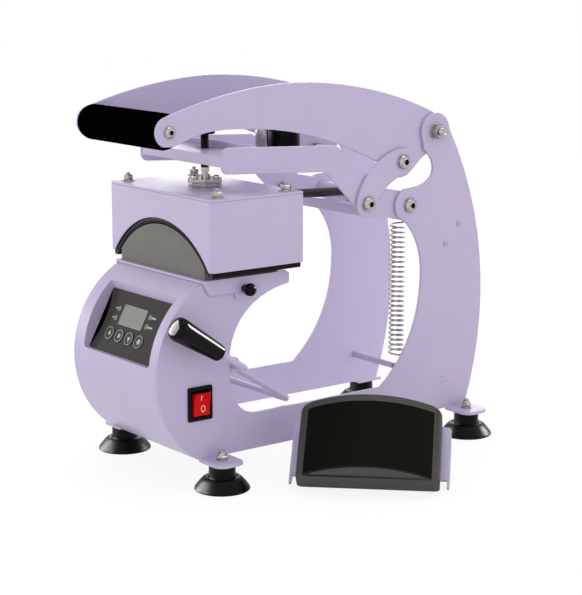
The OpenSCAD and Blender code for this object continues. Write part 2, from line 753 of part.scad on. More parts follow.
cross_y = [pivot_c[0] - 4, pivot_c[0] + 6];
cross_z = [pivot_c[1] - 12, pivot_c[1] - 2.5];
module arm_cross_bar() {
    color(lilac) difference() {
        translate([-arm_in, cross_y[0], cross_z[0]])
            cube([2 * arm_in, cross_y[1] - cross_y[0], cross_z[1] - cross_z[0]]);
        both_sides() rod_x(arm_in - boss_h - seat, arm_in + 1, pivot_c, boss_d / sqrt(3) + seat);
    }
}

// Axle tube at the press arm pivot, and the lever behind it that the spring pulls
axle_r = 10;
module arm_axle_tube() {
    color(lilac) difference() {
        rod_x(-arm_in, arm_in, pivot_d, axle_r, 64);
        both_sides() rod_x(arm_in - 22, arm_in + 1, pivot_d, pivot_r + fit);
        lead_tube(lead_d / 2 + fit, -40, lead_end + seat);
    }
}
hook_c = [tie_c[0], pivot_d[1] - 19];
lever_x = 5;
module spring_lever() {
    color(lilac) both_sides() along_x(lever_x, lever_x + 3) difference() {
        union() {
            polygon([pivot_d + [-4, -15], hook_c + [-2, -7], hook_c + [4, 6], pivot_d + [4, 15]]);
            translate(hook_c) circle(7, $fn = 48);
            translate(pivot_d) circle(15.5, $fn = 64);
        }
        translate(pivot_d) circle(axle_r + fit, $fn = 64);
        translate(hook_c) circle(2.5, $fn = 48);
    }
    color(chrome) rod_x(-lever_x - 5, lever_x + 5, hook_c, 2.5);
}
module stop_post() {
    color(chrome) translate([post_at[0], post_at[1], 0]) {
        translate([0, 0, rear_plate_z - 6]) cylinder(r = 3, h = rear_plate_t + 8, $fn = 40);
        translate([0, 0, rear_plate_z + rear_plate_t]) rotate_extrude($fn = 48) polygon([
            [0, 0], [6, 0], [6, 26], [5, 27.5], [4, 28.5], [0, 28.5]
        ]);
    }
}
module stop_buffer() {
    color(black) translate([buffer_at[0], buffer_at[1], rear_plate_z + rear_plate_t])
        rotate_extrude($fn = 64) polygon([
            [0, 0], [15, 0], [15.5, 1], [14.6, 22], [13, 25], [9, 26.5], [0, 27]
        ]);
    color(chrome) translate([buffer_at[0], buffer_at[1], rear_plate_z - 6])
        cylinder(r = 3, h = rear_plate_t + 6, $fn = 40);
}

// Toggle links, outside the arms, in the plane of the side plates
module link_outline() {
    difference() {
        union() {
            for (p = [pivot_b, pivot_c]) translate(p) circle(link_r, $fn = 96);
            polygon(concat(
                curve([pivot_b + link_r * [cos(100), sin(100)], pivot_b + [-28, 10], pivot_c + [-9, 24],
                    pivot_c + link_r * [cos(172), sin(172)]], 12),
                [pivot_c + [0, -2]],
                curve([pivot_c + [12, 4.6], pivot_c + [24, 16], pivot_b + [-6, -13],
                    pivot_b + [7.6, -10.5]], 10),
                [pivot_b]
            ));
        }
        translate(pivot_b) circle(pivot_r + fit, $fn = 48);
        translate(pivot_c) circle(pivot_r + fit, $fn = 48);
    }
}
module link_near() {
    color(lilac) along_x(plate_in, plate_out) link_outline();
}
module link_far() {
    color(lilac) mirror([1, 0, 0]) along_x(plate_in, plate_out) link_outline();
}

// Screw at one pivot: washer, button head outside and shank inwards to x1
washer_t = 0.8;
module pivot_screw(p, x_seat, x_end) {
    rod_x(x_end, x_seat + washer_t, p, pivot_r);
    rod_x(x_seat, x_seat + washer_t, p, 7.4);
    translate([x_seat + washer_t, p[0], p[1]]) rotate([0, 90, 0]) button_head(13.4, 4.4);
}
module link_screws() {
    color(chrome) both_sides() pivot_screw(pivot_c, plate_out, plate_in);
}
module link_bosses() {
    color(chrome) both_sides() translate([arm_in - boss_h, pivot_c[0], pivot_c[1]]) rotate([0, 90, 0])
        hex_nut(boss_d, boss_h, 0);
}

// Handle: two curved arms, a steel rod and the foam grip on it
module handle_outline() {
    polygon(concat(
        arc(grip_c, handle_end_r, 112, 245),
        [grip_c + [5, -12.7]],
        curve([grip_c + [18.9, -7.3], grip_c + [38.9, -0.8], grip_c + [53.9, -0.3],
            grip_c + [83.2, -2.1]], 6),
        curve([grip_c + [83.2, -2.1], grip_c + [131.2, -4.3], pivot_b + [-78.9, 27.1],
            pivot_b - [22.9, 1]], 10),
        curve([pivot_b - [22.9, 1], pivot_b + [-16, -6], pivot_b + [-14, -15.5], pivot_b + [0, -15.5]], 5),
        curve([pivot_b + [0, -15.5], pivot_b + [16, -15.5], pivot_b + [20, 5], pivot_a + [6, -15.5]], 6),
        arc(pivot_a, 16.6, -60, 78),
        curve([pivot_a + [3, 16.5], pivot_a + [-44.7, 38.7], pivot_a + [-109.7, 53.2],
            pivot_a + [-167.7, 53.2]], 10),
        curve([pivot_a + [-167.7, 53.2], pivot_a + [-214.7, 53.2], grip_c + [31.2, 25.2],
            grip_c + handle_end_r * [cos(112), sin(112)]], 10)
    ));
}
module handle_arm() {
    along_x(arm_in, arm_out) difference() {
        handle_outline();
        for (p = [pivot_a, pivot_b]) translate(p) circle(pivot_r + fit, $fn = 48);
        translate(grip_c) circle(3 + fit, $fn = 48);
    }
}
module handle_arm_near() {
    color(lilac) handle_arm();
}
module handle_arm_far() {
    color(lilac) mirror([1, 0, 0]) handle_arm();
}
rod_r = 8;
module handle_rod() {
    color(chrome) difference() {
        rod_x(-arm_in, arm_in, grip_c, rod_r);
        both_sides() rod_x(arm_in - 16, arm_in + 1, grip_c, 3 + fit);
    }
}
module handle_grip() {
    color(black) difference() {
        rod_x(-arm_in + 0.5, arm_in - 0.5, grip_c, grip_d / 2, 80);
        rod_x(-arm_in, arm_in, grip_c, rod_r + fit);
    }
}
module handle_screws() {
    color(chrome) both_sides() {
        pivot_screw(pivot_b, plate_out + slide_gap, arm_in - 7);
        translate([arm_in - 6.4, pivot_b[0], pivot_b[1]]) rotate([0, 90, 0]) hex_nut(13, 6.4, pivot_r);
        rod_x(arm_in - 14, arm_out, grip_c, 3);
        translate([arm_out, grip_c[0], grip_c[1]]) rotate([0, 90, 0]) button_head(10.5, 3.6);
    }
}

// Bolts at the handle pivot: hex head inside, washer and nut outside, thread standing proud
module main_pivot_bolts() {
    color(chrome) both_sides() {
        rod_x(arm_in - 1 - seat, plate_out + 13, pivot_a, pivot_r);
        translate([arm_in - 6 - seat, pivot_a[0], pivot_a[1]]) rotate([0, 90, 0]) hex_nut(13, 6, 0);
        translate([plate_out, pivot_a[0], pivot_a[1]]) rotate([0, 90, 0]) difference() {
            union() {
                cylinder(d = 16.5, h = 1.4);
                translate([0, 0, 1.4]) hex_nut(13, 6.8, 0);
            }
            translate([0, 0, -1]) cylinder(r = pivot_r, h = 20, $fn = 48);
        }
    }
}
module arm_pivot_screws() {
    color(chrome) both_sides() pivot_screw(pivot_d, plate_out, arm_in - 18);
}

// Tie rod across the rear of the frame, where the spring is hooked
module tie_rod() {
    color(lilac) rod_x(-plate_out, plate_out, tie_c, tie_r);
}

// Return spring: one wire from the hook on the tie rod, up the curls, to the hook on the lever
coil_r = (spring_d - wire_d) / 2;
hook_r = tie_r + wire_d / 2 + 0.4;
hook_top_r = 2.5 + wire_d / 2 + 0.45;
coil_z0 = tie_c[1] + 12;
coil_z1 = hook_c[1] - 11;
curl_rings = 8;
coil_n = spring_turns * curl_rings;
function hook_end(c, r, a, way) = [
    0, c[0] + r * cos(a) - way * wire_d * sin(a), c[1] + r * sin(a) + way * wire_d * cos(a)
];
function spring_path() = concat(
    [hook_end(tie_c, hook_r, 170, -1)],
    [for (i = [0:6]) hook_end(tie_c, hook_r, 170 + 190 * i / 6, 0)],
    [[0, tie_c[0] + hook_r + 0.8, tie_c[1] + 4], [-1.2, tie_c[0] + coil_r - 0.6, coil_z0 - 3.6]],
    [for (i = [0:coil_n]) let (a = 360 * i / curl_rings, z = coil_z0 + (coil_z1 - coil_z0) * i / coil_n)
        [coil_r * sin(a), tie_c[0] + coil_r * cos(a), z]],
    [[1.2, hook_c[0] + coil_r - 0.6, coil_z1 + 3.4], [0, hook_c[0] + hook_top_r + 0.8, hook_c[1] - 4]],
    [for (i = [0:6]) let (a = 190 * i / 6) hook_end(hook_c, hook_top_r, a, 0)],
    [hook_end(hook_c, hook_top_r, 190, 1)]
);
function tangents(p) = [for (i = [0:len(p) - 1]) unit(p[min(i + 1, len(p) - 1)] - p[max(i - 1, 0)])];
function flat(u, t) = unit(u - (u * t) * t);
function carried(t, u0) = [for (i = 0, u = flat(u0, t[0]); i < len(t);
    u = i + 1 < len(t) ? flat(u, t[i + 1]) : u, i = i + 1) u];
function next(k, sides) = (k + 1) % sides;
module wire_tube(p, r, sides) {
    n = len(p);
    t = tangents(p);
    u = carried(t, [1, 0, 0]);
    pts = [for (i = [0:n - 1], k = [0:sides - 1]) let (a = 360 * k / sides)
        p[i] + r * (cos(a) * u[i] + sin(a) * cross(t[i], u[i]))];
    polyhedron(pts, concat(
        [for (k = [1:sides - 2]) [0, k, k + 1]],
        [for (i = [0:n - 2], k = [0:sides - 1])
            [i * sides + k, (i + 1) * sides + k, i * sides + next(k, sides)]],
        [for (i = [0:n - 2], k = [0:sides - 1])
            [i * sides + next(k, sides), (i + 1) * sides + k, (i + 1) * sides + next(k, sides)]],
        [for (k = [1:sides - 2]) [(n - 1) * sides, (n - 1) * sides + k + 1, (n - 1) * sides + k]]
    ));
}
module return_spring() {
    color(chrome) wire_tube(spring_path(), wire_d / 2, 6);
}
spring_pts = spring_path();
spring_gap = min([for (i = [0:1:len(spring_pts) - 6], j = [i + 5:1:min(i + 20, len(spring_pts) - 1)])
    norm(spring_pts[i] - spring_pts[j])]) - wire_d;
echo(spring_least_gap = spring_gap);

// Limit switch inside the near plate, worked by the spring lever side of the press arm
micro_mid = (micro_a + micro_b) / 2;
micro_dir = atan2(micro_a[1] - micro_b[1], micro_a[0] - micro_b[0]);
micro_t = 10;
module limit_switch() {
    color("#303236") translate([plate_in - micro_t, micro_mid[0], micro_mid[1]]) rotate([90, 0, 90])
        rotate([0, 0, micro_dir]) difference() {
            linear_extrude(micro_t) slab(34, 16, 1.5);
            for (s = [-1, 1]) translate([s * norm(micro_a - micro_b) / 2, 0, -1])
                cylinder(r = 1.5 + fit, h = micro_t + 2);
        }
}
micro_n = [cos(micro_dir + 90), sin(micro_dir + 90)];
lever_hinge = micro_mid + 9.2 * micro_n + 12 * unit(micro_a - micro_b);
lever_l = 24;
lever_dir = micro_dir + 180 - 12;
roller_r = 2.3;
roller_c = lever_hinge + lever_l * [cos(lever_dir), sin(lever_dir)] + 1.8 * micro_n;
module limit_switch_lever() {
    color(chrome) along_x(plate_in - 6, plate_in - 1) {
        translate(lever_hinge) circle(0.7, $fn = 24);
        translate(lever_hinge) rotate([0, 0, lever_dir]) translate([0, -0.3]) square([lever_l, 0.6]);
        translate(roller_c) circle(roller_r, $fn = 32);
    }
}
module switch_finger() {
    u = unit(roller_c - pivot_d);
    v = [-u[1], u[0]];
    reach = norm(roller_c - pivot_d) - roller_r - seat;
    translate(pivot_d) polygon(concat(
        [9 * v, 9 * -v],
        arc((reach - 5) * u, 5, atan2(u[1], u[0]) - 80, atan2(u[1], u[0]) + 80)
    ));
}

// Suction feet and their studs and nuts
module foot(x, y) {
    translate([x, y, 0]) difference() {
        rotate_extrude($fn = 72) polygon(concat(
            [[0, 1.5], [16, 1.2], [19, 0], [foot_d / 2 - 0.5, 0], [foot_d / 2, 0.9], [foot_d / 2 - 0.6, 2.2]],
            [for (i = [0:6]) let (t = i / 6) [foot_d / 2 - 2.2 - 8.6 * t, 3 + 7.5 * pow(t, 1.25)]],
            [[12.6, 11.5], [12, 12.6], [12, foot_h], [0, foot_h]]
        ));
        translate([0, 0, 10]) cylinder(r = stud_d / 2 + fit, h = 30);
    }
}
module suction_feet() {
    color(black) for (x = [-1, 1], y = [-1, 1]) foot(x * foot_x, y * foot_y);
}
nut_h = 5;
module foot_fastener() {
    translate([0, 0, 12]) cylinder(r = stud_d / 2, h = rail_z + nut_h + 2 - 12, $fn = 40);
    translate([0, 0, rail_z]) difference() {
        union() {
            cylinder(d = 12.5, h = 1);
            translate([0, 0, 1]) hex_nut(10, nut_h, 0);
            translate([0, 0, nut_h + 1]) intersection() {
                translate([0, 0, -0.6]) sphere(4.6, $fn = 40);
                cylinder(r = 5, h = 6);
            }
        }
        translate([0, 0, -1]) cylinder(r = stud_d / 2, h = nut_h + 3);
    }
}
module frame_fasteners() {
    color(chrome) {
        for (x = [-1, 1], y = [-1, 1]) translate([x * foot_x, y * foot_y, 0]) foot_fastener();
        for (p = [micro_a, micro_b]) {
            rod_x(plate_in - micro_t - 3, plate_out + 0.9, p, 1.5, 32);
            rod_x(plate_out, plate_out + 0.9, p, 2.6, 32);
            translate([plate_in - micro_t - 2.4, p[0], p[1]]) rotate([0, 90, 0]) hex_nut(5.5, 2.4, 1.5);
        }
    }
}

// Hold-down lever: one bent rod, out past the near plate to its grip, round behind the platen
bail_dir = -32.5;
bail_r = bail_d / 2;
bail_grip_x = 88;
bail_bend = 7;
grip_from = 35;
grip_l = 56;
module on_bail() {
    translate([0, bail_c[0], bail_c[1]]) rotate([bail_dir, 0, 0]) children();
}
module bail_bar(x, y0, y1) {
    translate([x, y0, 0]) rotate([-90, 0, 0]) cylinder(r = bail_r, h = y1 - y0, $fn = 32);
}
module bail_cross(x0, x1, y) {
    translate([x0, y, 0]) rotate([0, 90, 0]) cylinder(r = bail_r, h = x1 - x0, $fn = 32);
}
module bail_corner(x, y, a) {
    translate([x, y, 0]) rotate([0, 0, a]) rotate_extrude(angle = 90, $fn = 64)
        translate([bail_bend, 0]) circle(bail_r, $fn = 32);
}
module bail_rod() {
    b = bail_bend;
    color(lilac) on_bail() {
        bail_bar(bail_grip_x, -grip_from - grip_l + 3, -b);
        bail_corner(bail_grip_x - b, -b, 0);
        bail_cross(bail_x + b, bail_grip_x - b, 0);
        bail_corner(bail_x + b, b, 180);
        bail_bar(bail_x, b, bail_l - b);
        bail_corner(bail_x - b, bail_l - b, 0);
        bail_cross(-bail_x + b, bail_x - b, bail_l);
        bail_corner(-bail_x + b, bail_l - b, 90);
        bail_bar(-bail_x, b, bail_l - b);
        bail_corner(-bail_x - b, b, 270);
        bail_cross(-arm_out, -bail_x - b, 0);
    }
}
module bail_grip() {
    color(black) on_bail() translate([bail_grip_x, -grip_from, 0]) rotate([90, 0, 0]) difference() {
        rotate_extrude($fn = 64) polygon([
            [0, 0], [6.6, 0], [7.6, 1.2], [bail_grip_d / 2 - 0.6, grip_l - 12],
            [bail_grip_d / 2, grip_l - 6], [bail_grip_d / 2 - 1.2, grip_l - 2], [bail_grip_d / 2 - 4, grip_l],
            [0, grip_l + 0.6]
        ]);
        translate([0, 0, -1]) cylinder(r = bail_r + fit, h = grip_l - 3 + 1 + fit);
    }
}

// Heater lead: straight from the slot at the back of the head into the hollow axle tube
lead_d = 8.6;
lead_start = head_y0 + head_l - cover_t - seat;
lead_end = pivot_d[0] - 3;
lead_z = head_top - 13.9;
lead_slope = (pivot_d[1] + 7 - lead_z) / (lead_end - lead_start);
head_lift = 5;
function lead_at(y) = lead_z + lead_slope * (y - lead_start);
module lead_tube(r, y0, y1) {
    translate([0, y0, lead_at(y0)]) rotate([-90 + atan(lead_slope), 0, 0])
        cylinder(r = r, h = (y1 - y0) / cos(atan(lead_slope)), $fn = 40);
}
module heater_lead() {
    color(black) difference() {
        lead_tube(lead_d / 2, lead_start, lead_end);
        rod_x(-20, 20, [lead_end, lead_at(lead_end)], 0.2, 16);
    }
}

// Spare platen, for smaller caps, standing on its end in front of the near rail
spare_at = [plate_out + 93.25, -46.8];
spare_turn = 45.6;
spare_lean = 46;
spare_w = 127.4;
spare_l = 73;
spare_r = 100;
spare_side = 24;
spare_h = 43;
spare_margin = 7;
spare_pad_t = 3;
spare_c = [0, spare_h - spare_r];
module on_spare() {
    translate([spare_at[0], spare_at[1], 0]) rotate([0, 0, spare_turn]) rotate([90 - spare_lean, 0, 0])
        children();
}
module spare_pad_profile(over) {
    intersection() {
        difference() {
            translate(spare_c) circle(spare_r + over, $fn = 160);
            translate(spare_c) circle(spare_r - spare_pad_t, $fn = 160);
        }
        translate([-spare_w / 2 + spare_margin, 0]) square([spare_w - 2 * spare_margin, 100]);
    }
}
module spare_bracket() {
    y0 = bracket_t * tan(spare_lean) + fit;
    color(lilac) on_spare() {
        translate([-bracket_out, y0, -bracket_t]) cube([2 * bracket_out, spare_l + 8 - y0, bracket_t]);
        both_sides() translate([0, -bracket_y0, -platen_z]) along_x(bracket_in, bracket_out) difference() {
            flange_outline(bracket_y0 + y0, flange_low * tan(spare_lean) + 1);
            translate([bracket_y0 - 1, bracket_z]) square([bracket_l + 9, 20]);
        }
    }
}
module spare_block() {
    w = spare_w / 2;
    color(dark_block) on_spare() difference() {
        intersection() {
            along_y(0, spare_l) {
                polygon(rounded([[-w, 0, 5], [w, 0, 5], [w, spare_side, 5], [-w, spare_side, 5]]));
                intersection() {
                    translate(spare_c) circle(spare_r, $fn = 160);
                    translate([-w + 4, 10]) square([2 * w - 8, 60]);
                }
            }
            translate([0, -20, -1]) linear_extrude(80) polygon(rounded([
                [-w, 0, 0], [w, 0, 0], [w, spare_l + 20, 9], [-w, spare_l + 20, 9]
            ]));
        }
        along_y(-1, spare_l - spare_margin) spare_pad_profile(5);
    }
}
module spare_pad() {
    color("#1c1a14") on_spare() along_y(0, spare_l - spare_margin) spare_pad_profile(0.4);
}

side_plate_near();
side_plate_far();
drum_shell();
drum_rear_panel();
power_inlet();
control_panel();
display_lights();
key_1();
key_2();
key_3();
key_4();
control_board();
switch_body();
switch_rocker();
platen_bracket();
platen_block();
platen_pad();
platen_screws();
lock_knob();
head_cover();
head_top_plate();
heater_block();
heating_element();
insulation_pad();
head_fasteners();
swivel_collar();
pressure_spindle();
pressure_knob();
press_arm_near();
press_arm_far();
arm_front_plate();
arm_rear_plate();
arm_cross_bar();
arm_axle_tube();
spring_lever();
stop_post();
stop_buffer();
link_near();
link_far();
link_screws();
link_bosses();
handle_arm_near();
handle_arm_far();
handle_grip();
handle_rod();
handle_screws();
main_pivot_bolts();
arm_pivot_screws();
tie_rod();
return_spring();
limit_switch();
limit_switch_lever();
suction_feet();
frame_fasteners();
bail_rod();
bail_grip();
heater_lead();
spare_bracket();
spare_block();
spare_pad();
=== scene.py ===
import json
import math

import bpy
from mathutils import Matrix, Vector


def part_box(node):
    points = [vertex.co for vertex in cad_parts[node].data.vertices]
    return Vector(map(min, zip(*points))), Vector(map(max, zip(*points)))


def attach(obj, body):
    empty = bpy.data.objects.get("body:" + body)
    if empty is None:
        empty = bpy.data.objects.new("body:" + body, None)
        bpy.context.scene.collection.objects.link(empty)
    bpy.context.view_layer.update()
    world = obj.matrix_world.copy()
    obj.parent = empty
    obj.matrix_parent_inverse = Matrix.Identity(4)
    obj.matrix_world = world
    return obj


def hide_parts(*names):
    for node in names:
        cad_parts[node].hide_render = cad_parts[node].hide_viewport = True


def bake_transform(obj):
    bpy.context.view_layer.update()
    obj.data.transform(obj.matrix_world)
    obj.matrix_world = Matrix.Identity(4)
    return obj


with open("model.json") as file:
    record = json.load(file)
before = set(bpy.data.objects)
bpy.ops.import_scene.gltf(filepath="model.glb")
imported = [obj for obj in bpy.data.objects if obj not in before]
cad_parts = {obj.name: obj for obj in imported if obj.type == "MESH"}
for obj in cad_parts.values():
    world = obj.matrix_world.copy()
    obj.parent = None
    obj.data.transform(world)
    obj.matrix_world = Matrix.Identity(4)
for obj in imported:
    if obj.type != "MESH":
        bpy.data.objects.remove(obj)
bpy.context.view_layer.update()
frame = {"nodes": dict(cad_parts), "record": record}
bpy.ops.object.select_all(action="DESELECT")
BODY = {node: body for body, nodes in frame["record"]["behaviour"]["bodies"].items() for node in nodes}
MM = 0.001
OUT = (1, 0, 0)

# Where the scene's own pieces sit on the press, in millimetres and degrees
LINK_PIVOT = (69.6, 28.7, 238.7)
ARM_PIVOT = (69.6, 79.8, 233.0)
HANDLE_LINK = (69.7, 71.2, 274.9)
HANDLE_LINK_NUT = (56.8, 71.2, 274.9)
GRIP_ROD = (66.3, -188.9, 318.3)
MAIN_PIVOT = (69.5, 112, 301.3)
MAIN_PIVOT_NUT = (57, 112, 301.3)
HEAD_Y = -107.1
HEAD_TOP = 259.3
COLLAR_TOP = 266.8
STUD_X = 72
STUD_Y = (-144.1, -70.1)
FOOT_X = 81.3
FOOT_Y = 147.7
FOOT_TAB_TOP = 26.4
SWITCH_SCREWS = ((69.5, 143.5, 209.4), (69.5, 126.8, 191.4))
LOCK_SCREW = (71.9, -114.7, 176.0)
LEVER_PIVOT = (88, -124.2, 106.5)
TIE_ROD = (0, 125.5, 56)
SPRING_HOOK = (0, 125.5, 214)
DRUM_AXIS = (-117.7, 104)
DRUM_RADIUS = 90.7
SPARE_PLACE = (162.75, -46.8, 0)
SPARE_TURN = 45.6
SPARE_LEAN = 44


# Camera, where the photograph was taken from

def photographer():
    """Stands right of the front and a little above, on a long lens, as fitted to the photograph's edges."""
    right = Vector((0.6078, 0.7941, 0.0))
    up = Vector((-0.15628, 0.11961, 0.98044))
    back = right.cross(up)
    bpy.ops.object.camera_add(location=(1.288, -0.9943, 0.469))
    camera = bpy.context.object
    camera.name = "photo_camera"
    camera.rotation_euler = Matrix((right, up, back)).transposed().to_euler()
    camera.data.lens = 104.37
    camera.data.sensor_width = 36
    camera.data.clip_start = 0.05
    bpy.context.scene.camera = camera


photographer()


# Materials

def colour(code):
    """An sRGB hex code as linear red, green, blue and alpha."""
    parts = [int(code[i:i + 2], 16) / 255 for i in (1, 3, 5)]
    return [c / 12.92 if c <= 0.04045 else ((c + 0.055) / 1.055) ** 2.4 for c in parts] + [1.0]


def put(tree, kind, settings, links=()):
    """Adds one node. Settings are properties or socket values, links are (socket, source) pairs."""
    made = tree.nodes.new(kind)
    for key, value in settings.items():
        if isinstance(key, str) and key.islower():
            setattr(made, key, value)
        else:
            made.inputs[key].default_value = value
    for key, source in links:
        tree.links.new(source, made.inputs[key])
    return made


def finish(name, base, settings):
    """Starts a material: returns its tree, its shader and the object's own coordinates."""
    material = bpy.data.materials.new(name)
    material.use_nodes = True
    tree = material.node_tree
    shader = tree.nodes["Principled BSDF"]
    shader.inputs["Base Color"].default_value = colour(base)
    for key, value in settings.items():
        shader.inputs[key].default_value = value
    place = put(tree, "ShaderNodeTexCoord", {}).outputs["Object"]
    return material, tree, shader, place


def mottle(tree, shader, place, size, dark, light, detail=2.0):
    """Colour drifting between two tones in patches of one size, in metres."""
    cloud = put(tree, "ShaderNodeTexNoise", {"Scale": 1 / size, "Detail": detail}, [("Vector", place)])
    tones = put(tree, "ShaderNodeMix", {"data_type": "RGBA", 6: colour(dark), 7: colour(light)},
                [(0, cloud.outputs[0])])
    tree.links.new(tones.outputs[2], shader.inputs["Base Color"])
    return tones


def wear(tree, shader, place, size, low, high):
    """Roughness wandering between two values in patches of one size, in metres."""
    cloud = put(tree, "ShaderNodeTexNoise", {"Scale": 1 / size, "Detail": 3.0}, [("Vector", place)])
    spread = put(tree, "ShaderNodeMapRange", {1: 0.3, 2: 0.7, 3: low, 4: high}, [(0, cloud.outputs[0])])
    tree.links.new(spread.outputs[0], shader.inputs["Roughness"])


def relief(tree, shader, height, depth, strength):
    """Raises the surface by a height map, depth in metres."""
    bump = put(tree, "ShaderNodeBump", {"Strength": strength, "Distance": depth}, [("Height", height)])
    tree.links.new(bump.outputs[0], shader.inputs["Normal"])


def powder_coat(name, dark, light):
    """Polyester powder baked on steel: satin, with the faint orange peel of melted grains."""
    clear = {"IOR": 1.5, "Coat Weight": 0.3, "Coat Roughness": 0.22}
    material, tree, shader, place = finish(name, light, clear)
    mottle(tree, shader, place, 0.03, dark, light)
    wear(tree, shader, place, 0.012, 0.42, 0.5)
    # The peel's cells are about 0.5 mm, drawn at 1.1 mm so that they show
    peel = put(tree, "ShaderNodeTexNoise", {"Scale": 1 / 0.0011, "Detail": 1.5}, [("Vector", place)])
    relief(tree, shader, peel.outputs[0], 0.00006, 0.35)
    return material


def plated_steel(name, base, low, high, streak):
    """Nickel plate over machined steel: bright and warm, with the tool's fine marks."""
    material, tree, shader, place = finish(name, base, {"Metallic": 1.0})
    wear(tree, shader, place, 0.002, low, high)
    # Turning marks are a few hundredths of a millimetre apart, drawn at 0.4 mm
    marks = put(tree, "ShaderNodeTexNoise", {"Scale": 1 / streak, "Detail": 2.0}, [("Vector", place)])
    relief(tree, shader, marks.outputs[0], 0.00002, 0.25)
    return material


def black_oxide():
    """Oiled black oxide on a screw thread: near black, with a metal's soft shine."""
    material, tree, shader, place = finish("black_oxide_steel", "#35343a", {"Metallic": 0.85})
    mottle(tree, shader, place, 0.004, "#26252a", "#47454c")
    wear(tree, shader, place, 0.002, 0.28, 0.42)
    return material


def foam_rubber():
    """Closed-cell nitrile foam: dull and deep black, pitted by cut cells."""
    material, tree, shader, place = finish("nitrile_foam", "#070607", {"Specular IOR Level": 0.0})
    mottle(tree, shader, place, 0.006, "#010101", "#050405")
    # Cells are about 0.3 mm, drawn at 0.9 mm
    cells = put(tree, "ShaderNodeTexVoronoi", {"Scale": 1 / 0.0009}, [("Vector", place)])
    relief(tree, shader, cells.outputs["Distance"], 0.00025, 0.4)
    wear(tree, shader, place, 0.01, 0.72, 0.86)
    return material


def moulded(name, dark, light, low, high, grain, depth, shine=0.5):
    """A moulded polymer: even colour, with the fine grain of its tool."""
    material, tree, shader, place = finish(name, light, {"Specular IOR Level": shine})
    mottle(tree, shader, place, 0.015, dark, light)
    wear(tree, shader, place, 0.008, low, high)
    skin = put(tree, "ShaderNodeTexNoise", {"Scale": 1 / grain, "Detail": 3.0}, [("Vector", place)])
    relief(tree, shader, skin.outputs[0], depth, 0.4)
    return material


def polished(name, base, roughness, shine):
    """A polished moulding: phenolic, acrylic or polycarbonate."""
    gloss = {"Roughness": roughness, "Specular IOR Level": shine}
    material, tree, shader, place = finish(name, base, gloss)
    # Slow waves of moulding shrinkage, some 9 mm long, bend the reflections a little
    sink = put(tree, "ShaderNodeTexNoise", {"Scale": 1 / 0.009, "Detail": 0.0}, [("Vector", place)])
    relief(tree, shader, sink.outputs[0], 0.0002, 0.12)
    return material


def cast(name, dark, light, low, high, grain):
    """A cast and coated metal block: dark, dull, with the sand's grain under the coat."""
    material, tree, shader, place = finish(name, light, {"Specular IOR Level": 0.3})
    mottle(tree, shader, place, 0.009, dark, light, 4.0)
    wear(tree, shader, place, 0.004, low, high)
    sand = put(tree, "ShaderNodeTexNoise", {"Scale": 1 / grain, "Detail": 4.0}, [("Vector", place)])
    relief(tree, shader, sand.outputs[0], 0.00012, 0.45)
    return material


def heater_with_painted_shade():
    """Cast aluminium, grey in a bare ring; the near black inside and outside that ring is painted shade of
    the gaps beside it and under the cover.
    """
    axis_height = 139 * MM
    ring_radius = 93.8 * MM
    ring_half_width = 0.7 * MM
    material, tree, shader, place = finish("cast_aluminium_painted_shade", "#55525a", {"Specular IOR Level": 0.12})
    apart = put(tree, "ShaderNodeSeparateXYZ", {}, [(0, place)])
    rise = put(tree, "ShaderNodeMath", {"operation": "SUBTRACT", 1: axis_height}, [(0, apart.outputs[2])])
    across = put(tree, "ShaderNodeCombineXYZ", {}, [(0, apart.outputs[0]), (1, rise.outputs[0])])
    reach = put(tree, "ShaderNodeVectorMath", {"operation": "LENGTH"}, [(0, across.outputs[0])])
    painted_shade_mask = put(tree, "ShaderNodeMath", {"operation": "COMPARE", 1: ring_radius, 2: ring_half_width},
              [(0, reach.outputs["Value"])])
    sand = put(tree, "ShaderNodeTexNoise", {"Scale": 1 / 0.0008, "Detail": 4.0}, [("Vector", place)])
    bare = put(tree, "ShaderNodeMix", {"data_type": "RGBA", 6: colour("#4d4a52"), 7: colour("#5d5a62")},
               [(0, sand.outputs[0])])
    # Off the ring the colour is near black: painted shade of the gaps round the ring
    tones = put(tree, "ShaderNodeMix", {"data_type": "RGBA", 6: colour("#060508")},
                [(0, painted_shade_mask.outputs[0]), (7, bare.outputs[2])])
    tree.links.new(tones.outputs[2], shader.inputs["Base Color"])
    wear(tree, shader, place, 0.004, 0.45, 0.6)
    relief(tree, shader, sand.outputs[0], 0.0001, 0.3)
    return material


def braided_sleeve():
    """Silicone-soaked glass braid round the heater's lead: strands cross at 2 mm."""
    material, tree, shader, place = finish("glass_braid", "#1d1c1f", {"IOR": 1.5})
    strands = (1 / (2 * MM),) * 3
    turn = put(tree, "ShaderNodeMapping", {"Rotation": (0, 0, 0.78), "Scale": strands}, [("Vector", place)])
    tones = {"Color1": colour("#131214"), "Color2": colour("#2a292c"), "Scale": 1.0}
    weave = put(tree, "ShaderNodeTexChecker", tones, [("Vector", turn.outputs[0])])
    tree.links.new(weave.outputs[0], shader.inputs["Base Color"])
    relief(tree, shader, weave.outputs[1], 0.0002, 0.3)
    wear(tree, shader, place, 0.003, 0.5, 0.65)
    return material


